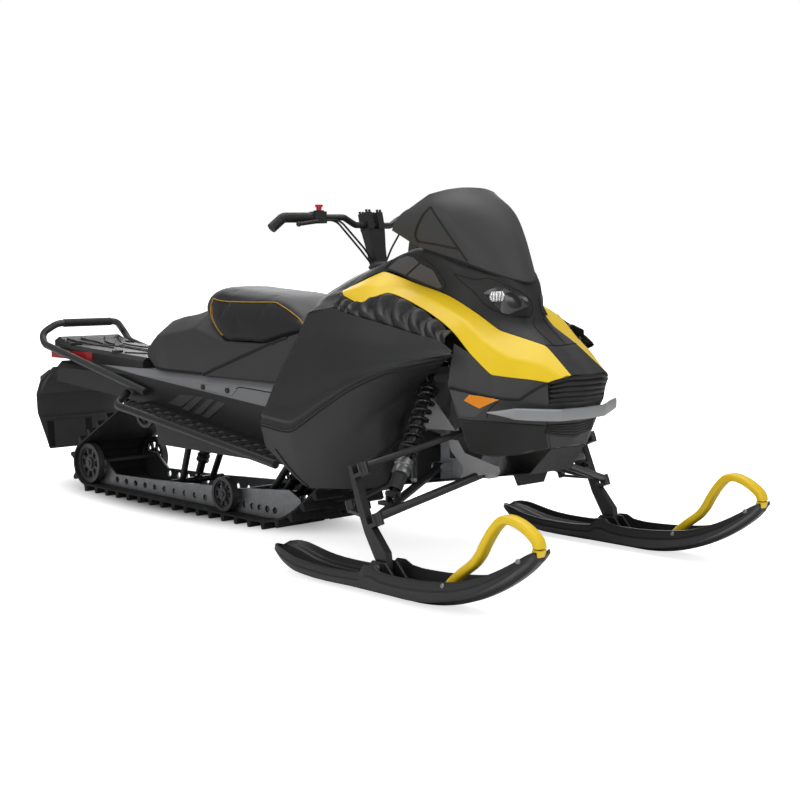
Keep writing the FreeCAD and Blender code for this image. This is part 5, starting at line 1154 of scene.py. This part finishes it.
# %% [markdown]
# ## Springs
# A coil spring is a helix: at angle a the wire's middle is `foot + up * pitch * a / (2 pi) +
# R (cos a, sin a)`. The last part of a turn at each end rises far less, so the ends lie flat.

# %% Springs
SHOCK_TOP = np.array([0.870, -0.222, 0.612])
SHOCK_FOOT = np.array([0.925, -0.450, 0.2781])
FLAT_TURN, FLAT_RISE = 0.6, 0.15
TURN_POINTS = 22


def coil(foot, up, ahead, start, end, radius, wire, turns):
    """One spring between two heights along an axis."""
    side = np.cross(up, ahead)
    share = np.linspace(0, 1, turns * TURN_POINTS)
    flat, low = FLAT_TURN / turns, FLAT_RISE / turns
    rise = np.interp(share, [0, flat, 1 - flat, 1], [0, low, 1 - low, 1])
    angle = share * turns * 2 * math.pi
    path = (foot + np.outer(start + wire + rise * (end - start - 2 * wire), up)
            + radius * (np.outer(np.cos(angle), ahead) + np.outer(np.sin(angle), side)))
    return sweep(path, round_profile(wire, 8), up=up)


down = (SHOCK_FOOT - SHOCK_TOP) / np.linalg.norm(SHOCK_FOOT - SHOCK_TOP)
aside = np.cross(down, ACROSS)
aside /= np.linalg.norm(aside)
spring = coil(SHOCK_TOP, down, aside, start=0.0405, end=0.286, radius=0.0262, wire=0.0052, turns=9)
dress(tubes("front_coils", both_sides(spring)), "spring_black", replaces=["front_springs"])
COLLAR = [(0.0185, 0.290), (0.027, 0.290), (0.0285, 0.296), (0.0285, 0.310), (0.0255, 0.313), (0.0255, 0.321),
          (0.0275, 0.324), (0.0275, 0.338), (0.0185, 0.342)]
SLEEVE = [(0.0185, 0.342), (0.0225, 0.343), (0.0235, 0.350), (0.0225, 0.384), (0.0205, 0.392), (0.0185, 0.392)]
for name, profile, slot in (("shock_collars", COLLAR, "silver_aluminium"), ("shock_sleeves", SLEEVE, "black_plastic")):
    dress(solid(name, both_sides(turned(profile, SHOCK_TOP, down, aside, 28))), slot)

# %% [markdown]
# ## Front bumper
# A satin bar wraps the nose. Its section is a rounded slab that grows thinner towards both
# pointed ends, so the sweep's profile is scaled along the path.

# %% Front bumper
BUMPER = [(1170, -303, 533), (1224, -240, 528), (1250, -180, 523), (1286, -104, 519), (1292, 0, 518)]
BUMPER_SCALE = [0.10, 0.9, 1.0, 1.0, 1.0]
bumper_path = smooth_path(mm(BUMPER), 10, (1, 0.5, 1, 0.15, 1))
bumper_path = np.concatenate([bumper_path, bumper_path[-2::-1] * FLIP])
height = smooth_path(np.array(BUMPER_SCALE)[:, None], 10, 0.6)
height = np.concatenate([height, height[-2::-1]])[:, None]
SET_BACK = np.array([-0.003, 0, 0])
bar = sweep(bumper_path + SET_BACK, bar_profile(0.0062, 0.0185, (0.6, 0.55), 20))
bar = bumper_path[:, None] + (bar - bumper_path[:, None]) * height
dress(tubes("nose_bumper", [bar]), "bumper_silver", replaces=["front_bumper"])
STUB = [(-72, 509), (-48, 509), (-48, 526), (-72, 526)]
plates("bumper_stubs", [prism(STUB, 0, (1240, 1288))], "black_plastic", 0.002)

# %% [markdown]
# ## Tunnel side
# The tunnel's upper edge is a paler extrusion with two bolts in a bracket, and four slanting
# louvres are pressed into its side.

# %% Tunnel side
SIDE_Y = -200.3
SLOTS_XZ = [[(-601, 423), (-529, 463), (-427, 464), (-515, 416)], [(-510, 410), (-424, 462), (-372, 464), (-468, 402)],
            [(-437, 399), (-344, 459), (-305, 459), (-391, 396)], [(-378, 392), (-281, 454), (-235, 450), (-342, 385)]]
PRESS_DEPTH, BRACKET_THICK, BOLT_OUT = np.array([4, 0.5, 0.5, 4]), 2.5, 9
BRACKET = [(-437, 499), (-430, 510), (-180, 512), (-168, 506), (-196, 484), (-330, 488)]
BOLT_PLACES = [(-372, 502), (-221, 499)]
presses = [prism(ring, 1, (SIDE_Y, SIDE_Y - PRESS_DEPTH)) for ring in SLOTS_XZ]
plates("tunnel_louvres", presses, "press_grey", 0.001)
plates("tunnel_brackets", [prism(BRACKET, 1, (SIDE_Y, SIDE_Y - BRACKET_THICK))], "bracket_grey")
HEXAGON = round_profile(11, 6)
hexes = [prism(HEXAGON + np.array(spot), 1, (SIDE_Y - BRACKET_THICK - 0.1, SIDE_Y - BOLT_OUT)) for spot in BOLT_PLACES]
plates("tunnel_bolts", hexes, "black_steel", 0.001)

# %% [markdown]
# ## Seams and plates of the lower bodywork
# Wide black gaps part the nose into an upper plate, a band with the reflector and a chin. A
# second, smaller grille sits in the chin, under the bumper. Cords laid the same way make the
# groove in the foot panel and the gaps beside the seat base, the tank cover and the tunnel.

# %% Nose, foot and seat base seams
FROM_SIDE, FROM_RIGHT = (-0.35, 0.93, -0.05), (0, 1, 0)
NOSE_GAP = [(1012, -299, 596), (1068, -281, 586), (1134, -255, 574), (1170, -229, 568), (1205, -196, 567),
            (1218, -185, 579), (1246, -158, 603), (1263, -141, 615)]
cords_on("nose_gaps", "nose_cover", [NOSE_GAP], FROM_SIDE, 0.004, 0.35, 0.3)
NOSE_SEAMS = [[(1046, -296, 503), (1090, -281, 500), (1137, -253, 499), (1200, -188, 492), (1236, -120, 485)],
              [(1156, -240, 560), (1134, -256, 534), (1128, -258, 512)]]
cords_on("nose_seams", "nose_cover", NOSE_SEAMS, FROM_SIDE, 0.0018, 0.3, 0.3)
FRAME = [(1263, -137, 600), (1267, -136, 615), (1283, -118, 624), (1309, -60, 633), (1313, -20, 634), (1313, 0, 634)]
cords_on("grille_frame", "grille_slats", [FRAME], (-0.8, 0.6, 0), 0.003, 0.3, 0.5)
CHIN_GRILLE = ([(1229, -109, 459), (1240, -60, 447), (1247, 0, 441)],
               [(1237, -112, 488), (1252, -60, 487), (1261, 0, 486)])
door_on("chin_grille", "nose_cover", [CHIN_GRILLE], (-1, 0.2, 0), "black_plastic", lift=0.0012, wall=0.0012,
        ribs=5, depth=0.003)
SIDE_SEAMS = [
    ("foot_grooves", "lower_panel_pair", 0.0022, 0.3, 0.5,
     [(312, -409, 353), (330, -405, 333), (362, -394, 297), (400, -385, 265), (441, -372, 236)]),
    ("side_gaps", "lower_panel_pair", 0.003, 0.4, 0.6, [(x, -425, z - 9) for x, _, z in SIDE_CREASE]),
    ("tank_gaps", "tank_cover", 0.0065, 0.72, 0.3,
     [(120, -200, 716), (12, -200, 677), (-174, -200, 615), (-376, -200, 548)]),
    ("base_gaps", "seat_base_moulding", 0.0055, 0.7, 0.5,
     [(-400, -195, 551), (-542, -195, 552), (-700, -190, 555), (-754, -175, 562)]),
    ("tunnel_lines", "tunnel", 0.002, 0.4, 0.2,
     [(-211, -200, 484), (-159, -200, 514), (0, -200, 509), (90, -200, 506)])]
for name, panel, radius, sink, ease, line in SIDE_SEAMS:
    cords_on(name, panel, [line], FROM_RIGHT, radius, sink, ease)

# %% [markdown]
# ## Flap, grab bar and front module
# The flap has a ridge across it and a gusset up to the tunnel. Under the ridge on each side a
# near-black plate stands for a recess: painted shade on a thin plate, not a hollow. The grab bar's
# top is padded. Silver plates brace the front module beside the shocks.

# %% Flap, bar pad and plates


FLAP_X, FLAP_Z, FLAP_LEAN, FLAP_SINK = -1576, 265, 0.146, 3


def flap_plate(corners, depth):
    """A plate on the flap's front face, which leans back as it rises, from (y, z) corners."""
    face = FLAP_X + (FLAP_Z - np.array(corners, float)[:, 1]) * FLAP_LEAN
    return prism(corners, 0, (face - FLAP_SINK, face + depth))


plates("flap_ridge", [flap_plate([(-196, 278), (196, 278), (196, 290), (-196, 290)], 7)], "flap_rubber", 0.002, False)
# Near-black plates where the recesses lie: painted shade, not hollows.
recess_shades = [flap_plate([(y, 158), (y + 32, 158), (y + 35, 270), (y + 3, 270)], 1.2) for y in (-178, 14)]
plates("flap_recess_shades", recess_shades, "seam_black", 0.0005, False)
GUSSET = [(-1576, 400), (-1470, 500), (-1500, 505), (-1576, 470)]
plates("flap_gussets", [prism(GUSSET, 1, (-205, -199))], "flap_rubber", 0.001)
BAR_TOP_X, BAR_TOP_Z = -1.512, 0.703
pad_path = np.array([(BAR_TOP_X, y, BAR_TOP_Z) for y in np.linspace(-0.118, 0.118, 9)])
dress(tubes("bar_pad", [sweep(pad_path, round_profile(0.0178, 20))]), "grip_rubber")
PLATES = [([(917, 423), (958, 423), (988, 386), (1128, 357), (1134, 343), (968, 302), (983, 341), (927, 387)], -205),
          ([(854, 552), (957, 453), (806, 448), (827, 506)], -215)]
PLATE_THICK = 3
plates("module_plates", [prism(ring, 1, (y + PLATE_THICK, y)) for ring, y in PLATES], "plate_grey", 0.001)

# %% [markdown]
# ## Baffles and deck ribs
# Where two skins part, a real machine shows the inside of its body, dark with shade, not the
# daylight behind it. Thin near-black baffles stand behind those gaps: inner parts with their shade
# painted in. The rear deck has moulded ribs.

# %% Baffles and deck ribs
# Near-black sheets behind the gaps: the inner parts are real, and their darkness is painted shade.
SHADE_BAFFLES = [([(950, 560), (1070, 600), (1085, 700), (1040, 762), (900, 800), (880, 700)], -190),
           ([(1120, 552), (1246, 556), (1258, 612), (1200, 640), (1120, 640)], -118)]
plates("inner_shade_baffles", [prism(ring, 1, (y + PLATE_THICK, y)) for ring, y in SHADE_BAFFLES], "seam_black", 0)
DECK_RIBS = [[(-1470, -128), (-1340, -70), (-1180, -70), (-1108, -128)],
             [(-1340, -70), (-1290, -20), (-1000, -20), (-940, -70)],
             [(-1020, -128), (-940, -70), (-850, -70)], [(-1470, -60), (-1400, -20), (-1330, -20)]]
rib_lines = [[(x, y, 620) for x, y in line] for line in DECK_RIBS]
cords_on("deck_ribs", "cargo_deck", rib_lines, (0, 0, -1), 0.0045, 0.35, 0.2, "black_plastic")

# %% [markdown]
# ## Windshield creases, fascia plates and mount cover
# The triangle on each side of the windshield is edged by three soft creases, drawn as cords in
# a black darker than the shield: painted shade along each crease. The fascia's corner plate is
# painted lighter than the moulding under the bumper: a painted highlight on a facet that turns to
# the light. A black cover closes the front of the module under the chin.

# %% Creases and plates
SHIELD_TOP, SHIELD_REAR, SHIELD_FRONT = (809, -177, 1145), (744, -172, 1036), (905, -148, 1012)
CREASES = [[SHIELD_TOP, (768, -179, 1092), (745, -175, 1052), SHIELD_REAR],
           [SHIELD_REAR, (820, -160, 1026), SHIELD_FRONT],
           [SHIELD_TOP, (853, -166, 1084), SHIELD_FRONT, (930, -140, 975)]]
# The cords stand a little proud and are a black darker than the windshield: painted shade along each crease.
cords_on("windshield_crease_shade_cords", "windshield_bowl", CREASES, FROM_RIGHT, 0.004, 0.62, 0.3, "hood_black")
# A paler plate on the nose's corner facet: a painted highlight where the facet turns to the light.
PAINTED_HIGHLIGHT_PLATE = ([(1052, -293, 511), (1075, -286, 512), (1098, -276, 513)],
                [(1013, -299, 589), (1056, -290, 585), (1105, -272, 575), (1150, -249, 566)])
door_on("fascia_painted_highlight_plates", "nose_cover", [PAINTED_HIGHLIGHT_PLATE], FROM_FRONT_RIGHT, "painted_highlight_grey", 0.0006, 0.0006)
CHIN_PLATE = ([(1064, -262, 402), (1102, -236, 394), (1135, -201, 391), (1179, -147, 395), (1224, -88, 415)],
              [(1050, -291, 497), (1109, -268, 496), (1155, -230, 495), (1196, -186, 490), (1234, -116, 482)])
door_on("fascia_chin_plates", "nose_cover", [CHIN_PLATE], FROM_FRONT_RIGHT, "hood_black", 0.001, 0.001)
COVER = [(-128, 396), (128, 396), (62, 278), (-62, 278)]
plates("module_cover", [prism(COVER, 0, (1078, 1083))], "hood_black", 0.0015, False)

# %% [markdown]
# ## The studio
# The photograph is a cut-out on white: no horizon, and only a soft dark patch under the
# machine. A pale floor with large, soft lamps gives part of that. The floor adds a little light of
# its own to the camera's rays only, so it reads as white while the machine's shadow stays on it.
# In an oval round the track that light fades out and the floor's colour darkens: a painted shadow.

# %% Floor, sky and lamps
FLOOR_SIZE = 80
bpy.ops.mesh.primitive_plane_add(size=FLOOR_SIZE, location=(0, 0, 0))
floor = bpy.context.object
floor.name = "studio_floor"
ground = Finish("studio_floor_finish", emission_color=(1, 1, 1), roughness=0.9, specular_ior_level=0.0)


def smooth_step(value, start, end, low, high):
    """Goes smoothly from low to high as the value goes from start to end."""
    return ground.node("ShaderNodeMapRange", {"interpolation_type": "SMOOTHSTEP"},
                       {"Value": value, "From Min": start, "From Max": end, "To Min": low, "To Max": high})


def length_of(vector):
    return ground.node("ShaderNodeVectorMath", {"operation": "LENGTH"}, {0: vector}, "Value")


# An oval round the track, in which the floor's glow fades out and its colour darkens: a painted shadow under the
# machine.
SHADE_SHIFT, SHADE_SHAPE = (0.513, 0.0, 0.0), (0.7, 2.0, 1.0)
seen = ground.node("ShaderNodeLightPath", output="Is Camera Ray")
near = length_of(ground.node("ShaderNodeMapping", None, {"Vector": ground.place(), "Location": SHADE_SHIFT,
                                                         "Scale": SHADE_SHAPE}))
# Glow for camera rays only: low inside the oval as a painted shadow, and higher far off so the far floor stays white.
glow_with_painted_shadow = smooth_step(near, 0.3, 0.75, 0.0, 0.72) + smooth_step(length_of(ground.place()), 1.7, 3.6, 0.0, 0.6)
ground.set(base_color=smooth_step(near, 0.3, 0.8, 0.35, 0.9), emission_strength=seen * glow_with_painted_shadow)
floor.data.materials.append(ground.material)

SKY_LIGHT, SKY_SEEN = 0.3, 1.0
world = bpy.data.worlds.new("studio_sky")
bpy.context.scene.world = world
world.use_nodes = True
sky = world.node_tree
background = sky.nodes["Background"]
background.inputs["Color"].default_value = (1, 1, 1, 1)
rays = sky.nodes.new("ShaderNodeLightPath")
strength = sky.nodes.new("ShaderNodeMix")
strength.inputs["A"].default_value = SKY_LIGHT
strength.inputs["B"].default_value = SKY_SEEN
sky.links.new(rays.outputs["Is Camera Ray"], strength.inputs["Factor"])
sky.links.new(strength.outputs[0], background.inputs["Strength"])


def softbox(name, place, aim, size, power):
    """A rectangular lamp at a place, turned to face a point."""
    lamp = bpy.data.lights.new(name, "AREA")
    lamp.shape = "RECTANGLE"
    lamp.size, lamp.size_y = size
    lamp.energy = power
    holder = bpy.data.objects.new(name, lamp)
    holder.location = place
    holder.rotation_euler = (Vector(aim) - Vector(place)).to_track_quat("-Z", "Y").to_euler()
    bpy.context.scene.collection.objects.link(holder)


softbox("lamp_overhead", (-0.2, 0.5, 4.4), (0.1, 0, 0.4), (4.5, 3.4), 120)
softbox("lamp_back_left", (-4.2, 4.0, 2.6), (0, 0, 0.7), (4.2, 2.6), 110)
softbox("lamp_right", (0.6, -4.8, 3.0), (0, 0, 0.5), (4.0, 1.6), 58)
softbox("lamp_front", (5.0, 0.6, 3.0), (0.6, 0, 0.6), (2.6, 1.6), 36)
softbox("lamp_ski", (3.4, -2.7, 1.3), (1.35, -0.1, 0.2), (1.4, 0.7), 13)
print("studio ready")
